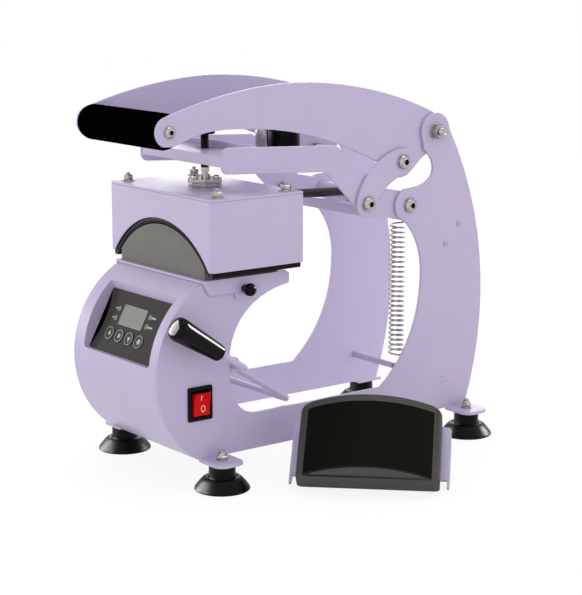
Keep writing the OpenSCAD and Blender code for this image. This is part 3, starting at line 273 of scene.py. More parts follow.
COAT = powder_coat("polyester_powder_coat", "#b9adcd", "#bfb3d3")
PLATE = plated_steel("nickel_plated_steel", "#b0aca9", 0.12, 0.24, 0.0004)
WIRE = plated_steel("bright_spring_wire", "#a8a6a6", 0.18, 0.3, 0.0006)
OXIDE = black_oxide()
# Near black: painted shade deep in the screws' hex sockets
SOCKET_SHADE = polished("socket_painted_shade", "#080709", 0.3, 0.1)
FOAM = foam_rubber()
RUBBER = moulded("moulded_rubber", "#050405", "#0a090a", 0.26, 0.38, 0.0008, 0.00004, 0.1)
ABS = moulded("black_abs", "#070508", "#0c0a0d", 0.26, 0.38, 0.0006, 0.00003, 0.1)
PHENOLIC = polished("gloss_phenolic", "#030203", 0.12, 0.12)
FASCIA = polished("smoked_acrylic", "#3e3b39", 0.16, 0.1)
DISPLAY = moulded("display_film", "#7b7974", "#87857f", 0.2, 0.26, 0.004, 0.00001)
SILVER = moulded("silver_print", "#a5a39e", "#b4b2ad", 0.4, 0.5, 0.0005, 0.00001)
# Near black: painted shade on the panel's left edge, beside the recess wall
EDGE_SHADE = moulded("painted_shade_black", "#010001", "#040304", 0.5, 0.6, 0.0005, 0.00001, 0.0)
KEYCAP = moulded("key_film", "#262322", "#2c2928", 0.3, 0.4, 0.0006, 0.00002, 0.2)
RED = polished("red_polycarbonate", "#cf0a09", 0.2, 0.1)
MARK = moulded("white_print", "#e6d6d4", "#f2e8e6", 0.4, 0.5, 0.0005, 0.00001)
GREY_SILICONE = moulded("grey_silicone_rubber", "#63615c", "#6b6964", 0.5, 0.62, 0.0012, 0.00005)
BLACK_SILICONE = moulded("black_silicone_rubber", "#0b0a05", "#110f09", 0.45, 0.55, 0.001, 0.00005, 0.05)
BLOCK = cast("coated_cast_iron", "#3c3c3a", "#474745", 0.5, 0.62, 0.0009)
HEATER = heater_with_painted_shade()
FOIL = plated_steel("copper_element_foil", "#b87f52", 0.3, 0.45, 0.001)
FIBRE = cast("ceramic_fibre_board", "#d2cab4", "#ded7c4", 0.8, 0.9, 0.0012)
BOARD = moulded("solder_masked_board", "#24532f", "#2f6a3d", 0.3, 0.4, 0.002, 0.00004)
BRAID = braided_sleeve()


# Bench work: small moves that every piece shares

def only(piece):
    """Leaves nothing selected but this piece."""
    if bpy.context.object and bpy.context.object.mode != "OBJECT":
        bpy.ops.object.mode_set(mode="OBJECT")
    bpy.ops.object.select_all(action="DESELECT")
    piece.select_set(True)
    bpy.context.view_layer.objects.active = piece


def soften(piece, width, limit):
    """Rounds every edge sharper than the limit, in millimetres and degrees."""
    bevel = piece.modifiers.new("edge", "BEVEL")
    bevel.width = width * MM
    bevel.segments = 2
    bevel.limit_method = "ANGLE"
    bevel.angle_limit = math.radians(limit)
    bevel.use_clamp_overlap = False
    only(piece)
    bpy.ops.object.modifier_apply(modifier=bevel.name)


def done(piece, name, body, material, stands_for=(), angle=32.0):
    """Names a finished piece, settles it at the origin, paints it and hangs it on its body."""
    only(piece)
    bpy.ops.object.transform_apply(location=True, rotation=True, scale=True)
    bpy.ops.object.shade_smooth_by_angle(angle=math.radians(angle))
    # A broken edge rounds the shading, and the flat face beside it stays flat
    even = piece.modifiers.new("even_shading", "WEIGHTED_NORMAL")
    even.keep_sharp = True
    bpy.ops.object.modifier_apply(modifier=even.name)
    piece.name = name
    piece.data.materials.clear()
    piece.data.materials.append(material)
    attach(piece, body)
    if stands_for:
        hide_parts(*stands_for)
    piece.select_set(False)
    return piece


def spare_stand():
    """How the spare platen stands: leaned back, and turned from the press."""
    place = Matrix.Translation(Vector(SPARE_PLACE) * MM)
    turn = Matrix.Rotation(math.radians(SPARE_TURN), 4, "Z")
    lean = Matrix.Rotation(math.radians(SPARE_LEAN), 4, "X")
    return place @ turn @ lean


def box_cutter(low, high, radius):
    """A box on the spare platen, its upright edges rounded, in millimetres."""
    bpy.ops.mesh.primitive_cube_add(size=1)
    cutter = bpy.context.object
    cutter.scale = [(b - a) * MM for a, b in zip(low, high)]
    cutter.location = [(a + b) / 2 * MM for a, b in zip(low, high)]
    bpy.ops.object.transform_apply(location=True, rotation=True, scale=True)
    if radius:
        bpy.ops.object.mode_set(mode="EDIT")
        bpy.ops.mesh.select_mode(type="EDGE")
        bpy.ops.object.mode_set(mode="OBJECT")
        for edge in cutter.data.edges:
            ends = [cutter.data.vertices[i].co for i in edge.vertices]
            edge.select = abs(ends[0].z - ends[1].z) > 0.001
        bpy.ops.object.mode_set(mode="EDIT")
        bpy.ops.mesh.bevel(offset=radius * MM, segments=6)
        bpy.ops.mesh.select_mode(type="VERT")
        bpy.ops.object.mode_set(mode="OBJECT")
    cutter.matrix_world = spare_stand()
    return cutter


def cut_with(piece, cutter, operation):
    """One boolean with a cutter that is thrown away."""
    cut = piece.modifiers.new("cut", "BOOLEAN")
    cut.operation = operation
    cut.object = cutter
    only(piece)
    bpy.ops.object.modifier_apply(modifier=cut.name)
    bpy.data.objects.remove(cutter)


def trim_spare_bracket(piece):
    """Shortens the bracket to what the photo shows, with rounded corners and a foot tab at each side."""
    reach, flange, back, front = 71.9, 2.4, -40, 2
    plate_bottom, plate_top, corner = 11.5, 67, 4
    tab_bottom, tab_top = 4.5, 24
    keep = box_cutter((-reach, plate_bottom, back), (reach, plate_top, front), corner)
    for left in (-reach, reach - flange):
        cut_with(keep, box_cutter((left, tab_bottom, back), (left + flange, tab_top, front), 0), "UNION")
    cut_with(piece, keep, "INTERSECT")


def from_solid(node, material, width, trim=None, limit=50.0):
    """A copy of a CAD solid, merged, with its edges broken as the finished part's are."""
    source = frame["nodes"][node]
    piece = bpy.data.objects.new(node + "_finished", source.data.copy())
    bpy.context.scene.collection.objects.link(piece)
    only(piece)
    bpy.ops.object.mode_set(mode="EDIT")
    bpy.ops.mesh.select_all(action="SELECT")
    bpy.ops.mesh.remove_doubles(threshold=0.00001)
    bpy.ops.object.mode_set(mode="OBJECT")
    if trim:
        trim(piece)
    bpy.ops.object.mode_set(mode="EDIT")
    bpy.ops.mesh.select_all(action="SELECT")
    bpy.ops.mesh.dissolve_limited(angle_limit=math.radians(0.4))
    bpy.ops.object.mode_set(mode="OBJECT")
    if width:
        soften(piece, width, limit)
    return done(piece, node + "_finished", BODY[node], material, [node])


def turned(rings, sides=64):
    """A lathed form up the Z axis: a circle that is extruded and scaled ring by ring, in millimetres."""
    radius, height = rings[0]
    bpy.ops.mesh.primitive_circle_add(vertices=sides, radius=radius * MM, location=(0, 0, height * MM),
                                      fill_type="NGON")
    piece = bpy.context.object
    bpy.ops.object.mode_set(mode="EDIT")
    bpy.ops.mesh.select_all(action="SELECT")
    for wide, high in rings[1:]:
        bpy.ops.mesh.extrude_region_move(TRANSFORM_OT_translate={"value": (0, 0, (high - height) * MM)})
        if abs(wide - radius) > 1e-6:
            bpy.ops.transform.resize(value=(wide / radius, wide / radius, 1),
                                     center_override=(0, 0, high * MM))
        radius, height = wide, high
    bpy.ops.mesh.select_all(action="SELECT")
    bpy.ops.mesh.remove_doubles(threshold=0.000002)
    bpy.ops.mesh.normals_make_consistent(inside=False)
    bpy.ops.object.mode_set(mode="OBJECT")
    return piece


def aim(piece, place, direction=(0, 0, 1)):
    """Stands a piece made up the Z axis at a place, in millimetres, along a direction."""
    only(piece)
    turn = Vector((0, 0, 1)).rotation_difference(Vector(direction)).to_matrix().to_4x4()
    piece.matrix_world = Matrix.Translation(Vector(place) * MM) @ turn @ piece.matrix_world
    bpy.ops.object.transform_apply(location=True, rotation=True, scale=True)
    return piece


def joined(pieces):
    """Joins pieces that are one part."""
    bpy.ops.object.select_all(action="DESELECT")
    for piece in pieces:
        piece.select_set(True)
    bpy.context.view_layer.objects.active = pieces[0]
    bpy.ops.object.join()
    return pieces[0]


def copied(piece):
    """A copy with its own mesh."""
    twin = piece.copy()
    twin.data = piece.data.copy()
    bpy.context.scene.collection.objects.link(twin)
    return twin


# Steel work: the bent plates, arms and brackets under one powder coat

for node, width in (("side_plate_near", 0.45), ("side_plate_far", 0.45), ("drum_rear_panel", 0.5),
                    ("drum_shell", 0.2), ("head_cover", 0.5), ("head_top_plate", 0.6),
                    ("platen_bracket", 0.5), ("press_arm_near", 0.6), ("press_arm_far", 0.6),
                    ("arm_front_plate", 1.0), ("arm_rear_plate", 0.8), ("arm_cross_bar", 0.8),
                    ("arm_axle_tube", 0.12), ("spring_lever", 0.1), ("link_near", 0.6), ("link_far", 0.6),
                    ("handle_arm_near", 0.6), ("handle_arm_far", 0.6), ("tie_rod", 0.4), ("bail_rod", 0.4)):
    from_solid(node, COAT, width)
from_solid("spare_bracket", COAT, 0, trim_spare_bracket)

# Bright parts

for node, width in (("swivel_collar", 0.28), ("stop_post", 0.3), ("link_bosses", 0.4), ("handle_rod", 0.4),
                    ("platen_screws", 0.2), ("limit_switch_lever", 0.1)):
    from_solid(node, PLATE, width)

# Blocks, pads and what is inside the head and the drum

for node, material, width in (("platen_block", GREY_SILICONE, 0.05), ("platen_pad", GREY_SILICONE, 0.1),
                              ("heater_block", HEATER, 0.4), ("heating_element", FOIL, 0.2),
                              ("insulation_pad", FIBRE, 0.8), ("control_board", BOARD, 0.2),
                              ("limit_switch", ABS, 0.5), ("power_inlet", ABS, 0.4),
                              ("switch_body", ABS, 0.4), ("pressure_knob", ABS, 0.2),
                              ("stop_buffer", RUBBER, 0.6), ("spare_block", BLOCK, 0.6),
                              ("spare_pad", BLACK_SILICONE, 0.25), ("control_panel", FASCIA, 0.13),
                              ("display_lights", DISPLAY, 0.15)):
    from_solid(node, material, width)
from_solid("switch_rocker", RED, 0.5, limit=80)

for number in (1, 2, 3, 4):
    from_solid("key_%d" % number, KEYCAP, 0.09)


# Screws, bolts and studs, each modelled once and copied to its places

WASHER = 0.9
SOCKET = 0.44


def nut(across, height, z):
    """A hex nut with turned-down corners, standing on z."""
    corner = across / math.cos(math.radians(30)) / 2
    low, high = z + 0.1 * across, z + height - 0.14 * across
    return turned([(0.9 * corner, z), (corner, low), (corner, high), (0.84 * corner, z + height)], 6)


def thread_end(radius, z, length, pitch):
    """A screw's end standing out of its nut: a few turns of thread and a rolled rim round a shallow dish."""
    rings, low = [(radius * 0.86, z)], z + pitch / 2
    while low < z + length - pitch:
        rings += [(radius, low), (radius * 0.88, low + pitch / 2)]
        low += pitch
    top = z + length
    rings += [(radius, low), (radius, top - 0.5), (radius * 0.86, top), (radius * 0.68, top),
              (radius * 0.5, top - 0.35), (radius * 0.1, top - 0.4)]
    return turned(rings, 40)


def washer(radius, thick, under, sides):
    """A plain washer lying on z = 0, its lower edge drawn in by the width given."""
    broken = 0.25
    rings = [(radius - under, 0), (radius, broken), (radius, thick - broken), (radius - broken, thick)]
    return turned(rings, sides)


def cap_screw(width, height, under, shank, long):
    """A button head with a hex socket, its shank below z = 0, and a washer under it of the radius given."""
    half, lift = width / 2, WASHER if under else 0
    dome = [(half - 0.35, 0), (half, 0.35), (half, 0.24 * height), (0.96 * half, 0.42 * height),
            (0.86 * half, 0.64 * height), (0.72 * half, 0.83 * height), (0.58 * half, 0.95 * height),
            (0.5 * half, height), (0.1 * half, height)]
    head = turned([(wide, high + lift) for wide, high in dome], 56)
    socket = turned([(SOCKET * half, 0.3 * height + 1), (SOCKET * half, height + 3)], 6)
    cut_with(head, socket, "DIFFERENCE")
    pieces = [head, turned([(shank, -long), (shank, 0.5)], 40)]
    if under:
        pieces.append(washer(under, WASHER, 0.25, 56))
    return joined(pieces)


def socket_shade(width, height, lift):
    """A near black prism in a screw's hex socket: painted shade of the socket's depth."""
    radius = (SOCKET - 0.01) * width / 2
    return turned([(radius, 0.3 * height + lift), (radius, 0.62 * height + lift)], 6)


def placed(models, name, node, spots, both=True, material=PLATE):
    """Copies models to their spots, on both sides of the frame if asked, as one piece."""
    group = []
    for side in ((1, -1) if both else (1,)):
        for model, (place, way) in zip(models, spots):
            spot = (side * place[0], place[1], place[2])
            group.append(aim(copied(model), spot, (side * way[0], way[1], way[2])))
    for model in set(models):
        bpy.data.objects.remove(model)
    stands_for = [node] if material is PLATE else ()
    done(joined(group), name, BODY[node], material, stands_for)


def screws():
    """The button heads of the hinges and the handle, and the painted shade in their sockets."""
    wide, high, under, shank = 13.4, 4.3, 7.4, 4
    small_wide, small_high, small_shank = 10.5, 3.5, 3
    placed([cap_screw(wide, high, under, shank, 3)], "link_screw_set", "link_screws", [(LINK_PIVOT, OUT)])
    placed([cap_screw(wide, high, under, shank, 24)], "arm_screw_set", "arm_pivot_screws", [(ARM_PIVOT, OUT)])
    models = [cap_screw(wide, high, under, shank, 13.4), nut(13, 6.4, 0),
              cap_screw(small_wide, small_high, 0, small_shank, 17)]
    placed(models, "handle_screw_set", "handle_screws",
           [(HANDLE_LINK, OUT), (HANDLE_LINK_NUT, OUT), (GRIP_ROD, OUT)])
    for name, node, place in (("link_screw_socket_shade", "link_screws", LINK_PIVOT),
                              ("arm_screw_socket_shade", "arm_pivot_screws", ARM_PIVOT)):
        placed([socket_shade(wide, high, WASHER)], name, node, [(place, OUT)], material=SOCKET_SHADE)
    socket_shades = [socket_shade(wide, high, WASHER), socket_shade(small_wide, small_high, 0)]
    placed(socket_shades, "handle_screw_socket_shade", "handle_screws", [(HANDLE_LINK, OUT), (GRIP_ROD, OUT)],
           material=SOCKET_SHADE)


def pivot_bolts():
    """The two bolts that the handle turns on, each with a nut and its thread's end outside, a nut inside."""
    ring = turned([(8, 0), (8.25, 0.25), (8.25, 1.1), (8, 1.4)], 64)
    end = thread_end(4, 1.4 + 6.8, 4.7, 1.25)
    bolt = joined([ring, nut(13, 6.8, 1.4), turned([(4, -8), (4, 8.3)], 40), end])
    placed([bolt, nut(13, 6, 0)], "pivot_bolt_set", "main_pivot_bolts",
           [(MAIN_PIVOT, OUT), (MAIN_PIVOT_NUT, OUT)])


def head_studs():
    """Four studs with washers and nuts on the top plate, and the collar's three screws."""
    up = (0, 0, 1)
    stud = joined([washer(6, 1.2, 0.3, 48), nut(8, 5.0, 1.2), turned([(2, -58), (2, 6.3)], 32),
                   thread_end(2, 6.2, 1.9, 0.8)])
    small = turned([(2.5, 0), (2.7, 0.25), (2.7, 2.3), (2.3, 3.0), (1.5, 3.0), (1.5, 1.3), (0.1, 1.3)], 40)
    spots = [((STUD_X * side, y, HEAD_TOP), up) for side in (1, -1) for y in STUD_Y]
    spots += [((x, y + HEAD_Y, COLLAR_TOP), up) for x, y in ((9.5, 6), (-9.5, 6), (0, -11.2))]
    placed([stud] * 4 + [small] * 3, "head_stud_set", "head_fasteners", spots, False)


def foot_studs():
    """The feet's studs with their washers and domed nuts, and the limit switch's two small screws."""
    dome = turned([(3.9, 4.2), (3.85, 4.9), (3.6, 5.9), (3.1, 6.8), (2.6, 7.3)], 40)
    stud = joined([washer(5.3, 1.0, 0.3, 48), nut(8.4, 3.6, 1.0), dome, turned([(3, -14.3), (3, 2)], 32),
                   thread_end(2.5, 7.2, 1.8, 0.8)])
    spots = [((x, y, FOOT_TAB_TOP), (0, 0, 1)) for x in (FOOT_X, -FOOT_X) for y in (-FOOT_Y, FOOT_Y)]
    head = turned([(2.35, 0), (2.6, 0.2), (2.5, 0.7), (2.1, 0.9), (1.5, 0.9), (1.3, 0.5), (0.1, 0.5)], 36)
    pin = joined([head, turned([(1.5, -15.9), (1.5, 0.4)], 24), nut(5.5, 2.4, -15.2)])
    spots += [(place, OUT) for place in SWITCH_SCREWS]
    placed([stud] * 4 + [pin] * 2, "foot_stud_set", "frame_fasteners", spots, False)


screws()
pivot_bolts()
head_studs()
foot_studs()


# Pressure spindle: black thread above, bright neck and foot below

def spindle():
    """The pressure screw, its thread drawn turn by turn as far as the knob."""
    foot = 1000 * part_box("pressure_spindle")[0].z
    crest, root, half_turn, pitch, last = 3.98, 3.5, 0.62, 1.25, 308.6
    bright = turned([(4.9, foot), (4.9, foot + 10.5), (3.2, foot + 10.5), (3.2, foot + 13), (4, foot + 13.2),
                     (4, foot + 17)], 48)
    aim(bright, (0, HEAD_Y, 0))
    done(bright, "spindle_neck", "spindle", PLATE, ["pressure_spindle"])
    rings, high = [(crest, foot + 17)], foot + 17.3
    while high < last:
        rings += [(crest, high), (root, high + half_turn)]
        high += pitch
    thread = turned(rings + [(3.4, 309.0)], 32)
    aim(thread, (0, HEAD_Y, 0))
    done(thread, "spindle_thread", "spindle", OXIDE, (), 50)


spindle()


# Handle grip: foam sleeve over the steel rod

def handle_grip():
    """The sleeve, open over the rod, with the soft round ends of cut foam."""
    bore, bore_depth, half = 8.1, 4, 62.6
    end = ((11, 0), (13.6, 0.8), (15.3, 2.6), (16, 5.4))
    rings = [(bore, bore_depth - half), (bore, -half)] + [(wide, deep - half) for wide, deep in end]
    rings += [(wide, half - deep) for wide, deep in reversed(end)] + [(bore, half), (bore, half - bore_depth)]
    sleeve = turned(rings, 80)
    aim(sleeve, (0, *GRIP_ROD[1:]), OUT)
    done(sleeve, "foam_sleeve", "handle", FOAM, ["handle_grip"], 40)


handle_grip()


# Hold-down lever's grip: a tapered gloss moulding

def hold_down_grip():
    """The grip, which widens towards its round end and stands out along the lever."""
    tilt = math.radians(-32.5)
    from_pivot = 35
    along = Vector((0, -math.cos(tilt), -math.sin(tilt)))
    start = Vector(LEVER_PIVOT) + along * from_pivot
    rings = [(3.1, 0), (6.2, 0), (7.2, 0.5), (7.7, 1.6), (8.6, 14), (9.5, 28), (10.3, 40), (10.8, 47),
             (10.9, 50), (10.5, 52.8), (9.2, 54.8), (6.6, 56), (3.2, 56.4), (0.2, 56.5)]
    grip = turned(rings, 64)
    aim(grip, start, along)
    done(grip, "lever_grip", "hold_down", PHENOLIC, ["bail_grip"], 60)


hold_down_grip()


# Lock knob: a gloss ball on a neck and its screw

def lock_ball():
    """The ball, a little flatter than round, on its neck, with its screw in the platen's bracket."""
    centre, radius, flatter = 7.6, 5.9, 5.5
    rings = [(3, -12), (3, 0), (4, 0), (4, 2.2), (4.3, 2.6)]
    for degrees in (*range(54, 100, 9), *range(108, 180, 8)):
        turn = math.radians(degrees)
        rings.append((radius * math.sin(turn), centre - flatter * math.cos(turn)))
    ball = turned(rings, 56)
    aim(ball, LOCK_SCREW, OUT)
    done(ball, "lock_ball", BODY["lock_knob"], PHENOLIC, ["lock_knob"], 45)


lock_ball()


# Suction feet

def feet():
    """Four feet alike: the flat rim, the hollow under it, the flared cup and the collar round the stud."""
    rings = [(16, 1.2), (19, 0.02), (24.3, 0.02), (24.9, 0.5), (25, 1.3), (24.6, 2.3), (23.3, 4.1),
             (21.3, 6.7), (19.1, 9.2), (17.3, 10.8), (16.1, 11.5), (15.2, 11.7), (14.3, 11.5), (13.2, 11.1),
             (12.5, 11.3), (12.1, 12.1), (12, 22.9), (11.6, 23.4), (3.1, 23.4)]
    model = turned(rings, 72)
    group = []
    for x in (-FOOT_X, FOOT_X):
        for y in (-FOOT_Y, FOOT_Y):
            group.append(aim(copied(model), (x, y, 0)))
    bpy.data.objects.remove(model)
    done(joined(group), "rubber_feet", "frame", RUBBER, ["suction_feet"], 28)


feet()


# Return spring and heater lead: round lines along the solids' own routes

def drawn_line(name, points, radius, rounding):
    """A round line through points in metres, as a mesh. Its radius is in millimetres."""
    line = bpy.data.curves.new(name + "_line", "CURVE")
    line.dimensions = "3D"
    line.bevel_depth = radius * MM
    line.bevel_resolution = rounding
    line.use_fill_caps = True
    spline = line.splines.new("POLY")
    spline.points.add(len(points) - 1)
    for point, place in zip(spline.points, points):
        point.co = (*place, 1)
    piece = bpy.data.objects.new(name, line)
    bpy.context.scene.collection.objects.link(piece)
    only(piece)
    bpy.ops.object.convert(target="MESH")
    return bpy.context.object


def return_spring():
    """The lower hook round the tie rod, the coil, and the upper hook on the lever."""
    tie, hook, wire = Vector(TIE_ROD), Vector(SPRING_HOOK), 2.0
    low_radius, high_radius, coil_radius, turns, per_turn, bends = 4.4, 3.95, 7.0, 27, 20, 12
    coil_low, coil_high = tie.z + 12, hook.z - 11

    def on_hook(centre, radius, angle, way):
        c, s = math.cos(math.radians(angle)), math.sin(math.radians(angle))
        return centre + Vector((0, radius * c - way * wire * s, radius * s + way * wire * c))

    points = [on_hook(tie, low_radius, 170, -1)]
    points += [on_hook(tie, low_radius, 170 + 190 * i / bends, 0) for i in range(bends + 1)]
    points.append(tie + Vector((0, low_radius + 0.8, 4)))
    points.append(Vector((-1.2, tie.y + coil_radius - 0.6, coil_low - 3.6)))
    for i in range(turns * per_turn + 1):
        angle = 2 * math.pi * i / per_turn
        points.append(Vector((coil_radius * math.sin(angle), tie.y + coil_radius * math.cos(angle),
                              coil_low + (coil_high - coil_low) * i / (turns * per_turn))))
    points.append(Vector((1.2, hook.y + coil_radius - 0.6, coil_high + 3.4)))
    points.append(hook + Vector((0, high_radius + 0.8, -4)))
    points += [on_hook(hook, high_radius, 190 * i / bends, 0) for i in range(bends + 1)]
    points.append(on_hook(hook, high_radius, 190, 1))
    piece = drawn_line("spring_wire", [place * MM for place in points], 0.97, 2)
    bpy.ops.object.shade_smooth()
    piece.data.materials.append(WIRE)
    piece.select_set(False)
    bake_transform(piece)
    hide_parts("return_spring")


return_spring()


def heater_lead():
    """The braided lead, straight from the head's rear slot into the hollow axle tube."""
    low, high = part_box("heater_lead")
    start, start_height, slope = -58.5, 245.4, (240.0 - 245.4) / (76.8 + 58.5)
    margin, steps = 0.2, 24
    run = 1000 * (high.y - low.y) - 2 * margin
    points = []
    for i in range(steps + 1):
        y = 1000 * low.y + margin + run * i / steps
        points.append((0.0, y * MM, (start_height + slope * (y - start)) * MM))
    piece = drawn_line("lead_braid", points, 4.25, 6)
    piece = done(piece, "lead_braid", BODY["heater_lead"], BRAID, ["heater_lead"])


heater_lead()


# Control panel's prints and the switch's marks

PANEL_TILT = math.radians(151.9)
PANEL_X = 2.7
PANEL_HALF = 29
PANEL_DEPTH = 6.6
PANEL_DROP = 2.4
PANEL_NORMAL = Vector((0, math.cos(PANEL_TILT), math.sin(PANEL_TILT)))
PANEL_UP = Vector((0, -PANEL_NORMAL.z, PANEL_NORMAL.y)) * -1
PANEL_FACE = DRUM_RADIUS * math.cos(math.asin(PANEL_HALF / DRUM_RADIUS)) - PANEL_DEPTH
PANEL_CENTRE = Vector((PANEL_X, *DRUM_AXIS)) + PANEL_NORMAL * PANEL_FACE - PANEL_UP * PANEL_DROP


def on_panel(piece, x, y, z):
    """Lays a flat piece on the panel: x across it, y up it and z off it, in millimetres."""
    only(piece)
    lay = Matrix((Vector((1, 0, 0)), PANEL_UP, PANEL_NORMAL)).transposed().to_4x4()
    place = (PANEL_CENTRE + Vector((x, 0, 0)) + PANEL_UP * y + PANEL_NORMAL * z) * MM
    piece.matrix_world = Matrix.Translation(place) @ lay @ piece.matrix_world
    bpy.ops.object.transform_apply(location=True, rotation=True, scale=True)
    return piece


def thickened(piece, thick):
    """Gives a flat print, open in edit mode, its thickness."""
    bpy.ops.mesh.select_all(action="SELECT")
    bpy.ops.mesh.extrude_region_move(TRANSFORM_OT_translate={"value": (0, 0, thick * MM)})
    bpy.ops.mesh.select_all(action="SELECT")
    bpy.ops.mesh.normals_make_consistent(inside=False)
    bpy.ops.object.mode_set(mode="OBJECT")
    return piece


def thin_ring(outer, inner, thick, sides=48):
    """A flat printed ring."""
    bpy.ops.mesh.primitive_circle_add(vertices=sides, radius=outer * MM, fill_type="NGON")
    piece = bpy.context.object
    bpy.ops.object.mode_set(mode="EDIT")
    bpy.ops.mesh.select_all(action="SELECT")
    bpy.ops.mesh.inset(thickness=(outer - inner) * MM)
    bpy.ops.mesh.delete(type="ONLY_FACE")
    return thickened(piece, thick)


def thin_border(width, height, line, thick):
    """A flat printed frame round a window, or a dash where its line fills it."""
    bpy.ops.mesh.primitive_plane_add(size=1)
    piece = bpy.context.object
    piece.scale = ((width + 2 * line) * MM, (height + 2 * line) * MM, 1)
    bpy.ops.object.transform_apply(location=True, rotation=True, scale=True)
    bpy.ops.object.mode_set(mode="EDIT")
    bpy.ops.mesh.select_all(action="SELECT")
    if height > 3 * line:
        bpy.ops.mesh.inset(thickness=line * MM)
        bpy.ops.mesh.delete(type="ONLY_FACE")
    return thickened(piece, thick)


def thin_shape(sides, radius, thick, turn):
    """A flat printed polygon: a triangle, a square, a hexagon or, with many sides, a disc."""
    bpy.ops.mesh.primitive_circle_add(vertices=sides, radius=radius * MM, fill_type="NGON",
                                      rotation=(0, 0, math.radians(turn)))
    piece = bpy.context.object
    bpy.ops.object.transform_apply(location=True, rotation=True, scale=True)
    bpy.ops.object.mode_set(mode="EDIT")
    return thickened(piece, thick)


def key_prints():
    """A ring on each key, and in it a triangle, a square, a second triangle or a hexagon."""
    first, pitch, row, off_face, off_key = -30.5, 16.2, -11.8, 0.82, 0.52
    marks = ((3, 2.9, 0), (4, 2.4, 45), (3, 2.9, 180), (6, 2.6, 0))
    for i, (sides, radius, turn) in enumerate(marks):
        x = first + i * pitch
        ring = on_panel(thin_ring(6.0, 5.5, 0.12), x, row, off_face)
        mark = on_panel(thin_shape(sides, radius, 0.12, turn), x, row, off_key)
        done(joined([ring, mark]), "key_print_%d" % (i + 1), "key_%d" % (i + 1), SILVER)


def panel_print():
    """Rings round the lights, a dash beside each, and a border round the display."""
    rows, line_height = (12.2, 3.2), 0.9
    rings = [on_panel(thin_ring(2.4, 2.0, 0.1, 32), x, y, 0.02) for x in (-31.3, 20) for y in rows]
    rings.append(on_panel(thin_border(36.3, 18, 0.5, 0.12), -5.6, 7.8, 0.12))
    rings += [on_panel(thin_border(width, line_height, 0.35, 0.08), x, y, 0.02)
              for x, width in ((-35.4, 2.4), (25.8, 6.2)) for y in rows]
    done(joined(rings), "panel_print", "frame", SILVER)


def panel_edge_painted_shade():
    """A black crescent of painted shade at the panel's left edge, cut from a large disc."""
    disc_radius, cut_at = 58.3, 51.1
    band = thin_shape(160, disc_radius, 0.06, 0)
    only(band)
    bpy.ops.object.mode_set(mode="EDIT")
    bpy.ops.mesh.select_all(action="SELECT")
    bpy.ops.mesh.bisect(plane_co=(cut_at * MM, 0, 0), plane_no=OUT, clear_inner=True, use_fill=True)
    bpy.ops.object.mode_set(mode="OBJECT")
    on_panel(band, -105.1, -0.65, 0.01)
    done(band, "panel_edge_painted_shade", "frame", EDGE_SHADE)


key_prints()
panel_print()
panel_edge_painted_shade()


def rocker_marks():
    """The switch's white line, above, and its ring, below, on the hollow face of the rocker."""
    line = thin_border(4.2, 0.15, 0.2, 0.3)
    aim(line, (0, 0, 0), OUT)
    ring = thin_ring(2.5, 2.0, 0.3, 40)
    only(ring)
    ring.scale = (1.2, 0.92, 1)
    aim(ring, (0, 0, 0), OUT)
    for piece, tilt, place in ((line, 14.8, (75.13, -164.9, 84.6)), (ring, 3.2, (73.44, -162.2, 74.1))):
        only(piece)
        turn = Matrix.Rotation(math.radians(tilt), 4, "Y")
        piece.matrix_world = Matrix.Translation(Vector(place) * MM) @ turn
        bpy.ops.object.transform_apply(location=True, rotation=True, scale=True)
    done(joined([line, ring]), "rocker_marks", "rocker", MARK)


rocker_marks()


# Room: a pale floor and soft light

def rays_seen(tree):
    """One for what the camera sees, directly, in a gloss or through glass, and nought for other light."""
    ray = put(tree, "ShaderNodeLightPath", {})
    seen = put(tree, "ShaderNodeMath", {"operation": "MAXIMUM"},
               [(0, ray.outputs["Is Camera Ray"]), (1, ray.outputs["Is Glossy Ray"])])
    seen = put(tree, "ShaderNodeMath", {"operation": "MAXIMUM"},
               [(0, seen.outputs[0]), (1, ray.outputs["Is Transmission Ray"])])
    return seen.outputs[0]


def pale_floor():
    """A floor that shows nearly white and keeps the object's shadow."""
    bpy.ops.mesh.primitive_plane_add(size=14, location=(0, 0, -0.0002))
    floor = bpy.context.object
    floor.name = "floor"
    material = bpy.data.materials.new("pale_floor")
    material.use_nodes = True
    tree = material.node_tree
    tree.nodes.remove(tree.nodes["Principled BSDF"])
    seen = rays_seen(tree)
    paint = put(tree, "ShaderNodeBsdfDiffuse", {"Color": colour("#ececec")})
    glow = put(tree, "ShaderNodeEmission", {"Color": colour("#ffffff"), "Strength": 1.06})
    pale = put(tree, "ShaderNodeMixShader", {0: 0.8}, [(1, paint.outputs[0]), (2, glow.outputs[0])])
    mix = put(tree, "ShaderNodeMixShader", {}, [(0, seen), (1, paint.outputs[0]), (2, pale.outputs[0])])
    tree.links.new(mix.outputs[0], tree.nodes["Material Output"].inputs["Surface"])
    floor.data.materials.append(material)
    floor.select_set(False)


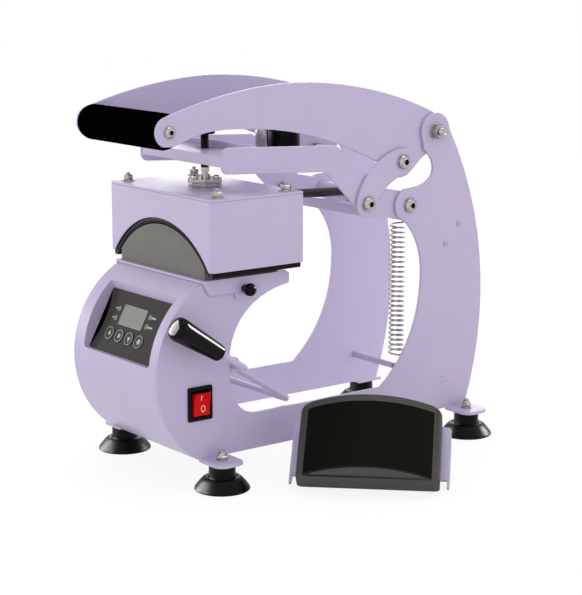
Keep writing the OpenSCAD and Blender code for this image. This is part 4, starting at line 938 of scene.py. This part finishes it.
def studio_world():
    """Even white light from all round, shown as white behind the object."""
    world = bpy.data.worlds.new("studio")
    bpy.context.scene.world = world
    world.use_nodes = True
    tree = world.node_tree
    level = put(tree, "ShaderNodeMapRange", {1: 0.0, 2: 1.0, 3: 0.9, 4: 1.0}, [(0, rays_seen(tree))])
    sky = tree.nodes["Background"]
    sky.inputs["Color"].default_value = colour("#ffffff")
    tree.links.new(level.outputs[0], sky.inputs["Strength"])


def lamp(name, place, target, size, power):
    """A square soft lamp that faces its target, with places and size in metres and power in watts."""
    bpy.ops.object.light_add(type="AREA", location=place)
    light = bpy.context.object
    light.name = name
    light.data.size = size
    light.data.energy = power
    light.rotation_euler = (Vector(target) - Vector(place)).to_track_quat("-Z", "Y").to_euler()
    light.select_set(False)
    return light


def lit_group(name, pieces):
    """A collection of pieces that a lamp lights alone."""
    group = bpy.data.collections.new(name)
    for piece in pieces:
        group.objects.link(bpy.data.objects[piece])
    return group


def studio_lamps():
    """Five soft lamps round the press."""
    middle = (0, 0, 0.15)
    lamp("left_light", (-2.0, -0.9, 0.35), middle, 0.55, 8)
    lamp("front_light", (1.5, -1.7, 0.8), middle, 0.9, 2)
    lamp("right_light", (1.9, 1.3, 0.75), middle, 0.5, 2)
    lamp("back_light", (-1.7, 1.4, 0.95), (0, 0, 0.2), 0.8, 8)
    lamp("top_light", (0.1, 0.2, 2.2), (0, 0, 0.1), 1.2, 6)


def inner_fill():
    """A shadowless fill that lights the far plates alone, whose inner faces the near ones shade."""
    fill = lamp("inner_fill", (2.2, -0.6, 0.3), (0, 0, 0.15), 0.8, 14)
    fill.data.use_shadow = False
    plates = ("side_plate_far_finished", "press_arm_far_finished", "link_far_finished")
    fill.light_linking.receiver_collection = lit_group("far_plates", plates)


def gloss_cards():
    """Two bright cards that only the gloss black parts show, and only as long highlights."""
    group = lit_group("gloss_parts", ("lever_grip", "lock_ball", "pressure_knob_finished", "rubber_feet"))
    for card in (lamp("left_card", (-1.3, -1.5, 0.6), (0.09, -0.2, 0.14), 2.2, 380),
                 lamp("rear_card", (0.45, 1.8, 0.8), (0.09, -0.2, 0.14), 0.7, 62)):
        card.visible_diffuse = False
        card.light_linking.receiver_collection = group


pale_floor()
studio_world()
studio_lamps()
inner_fill()
gloss_cards()
bpy.context.scene.view_settings.view_transform = "Standard"
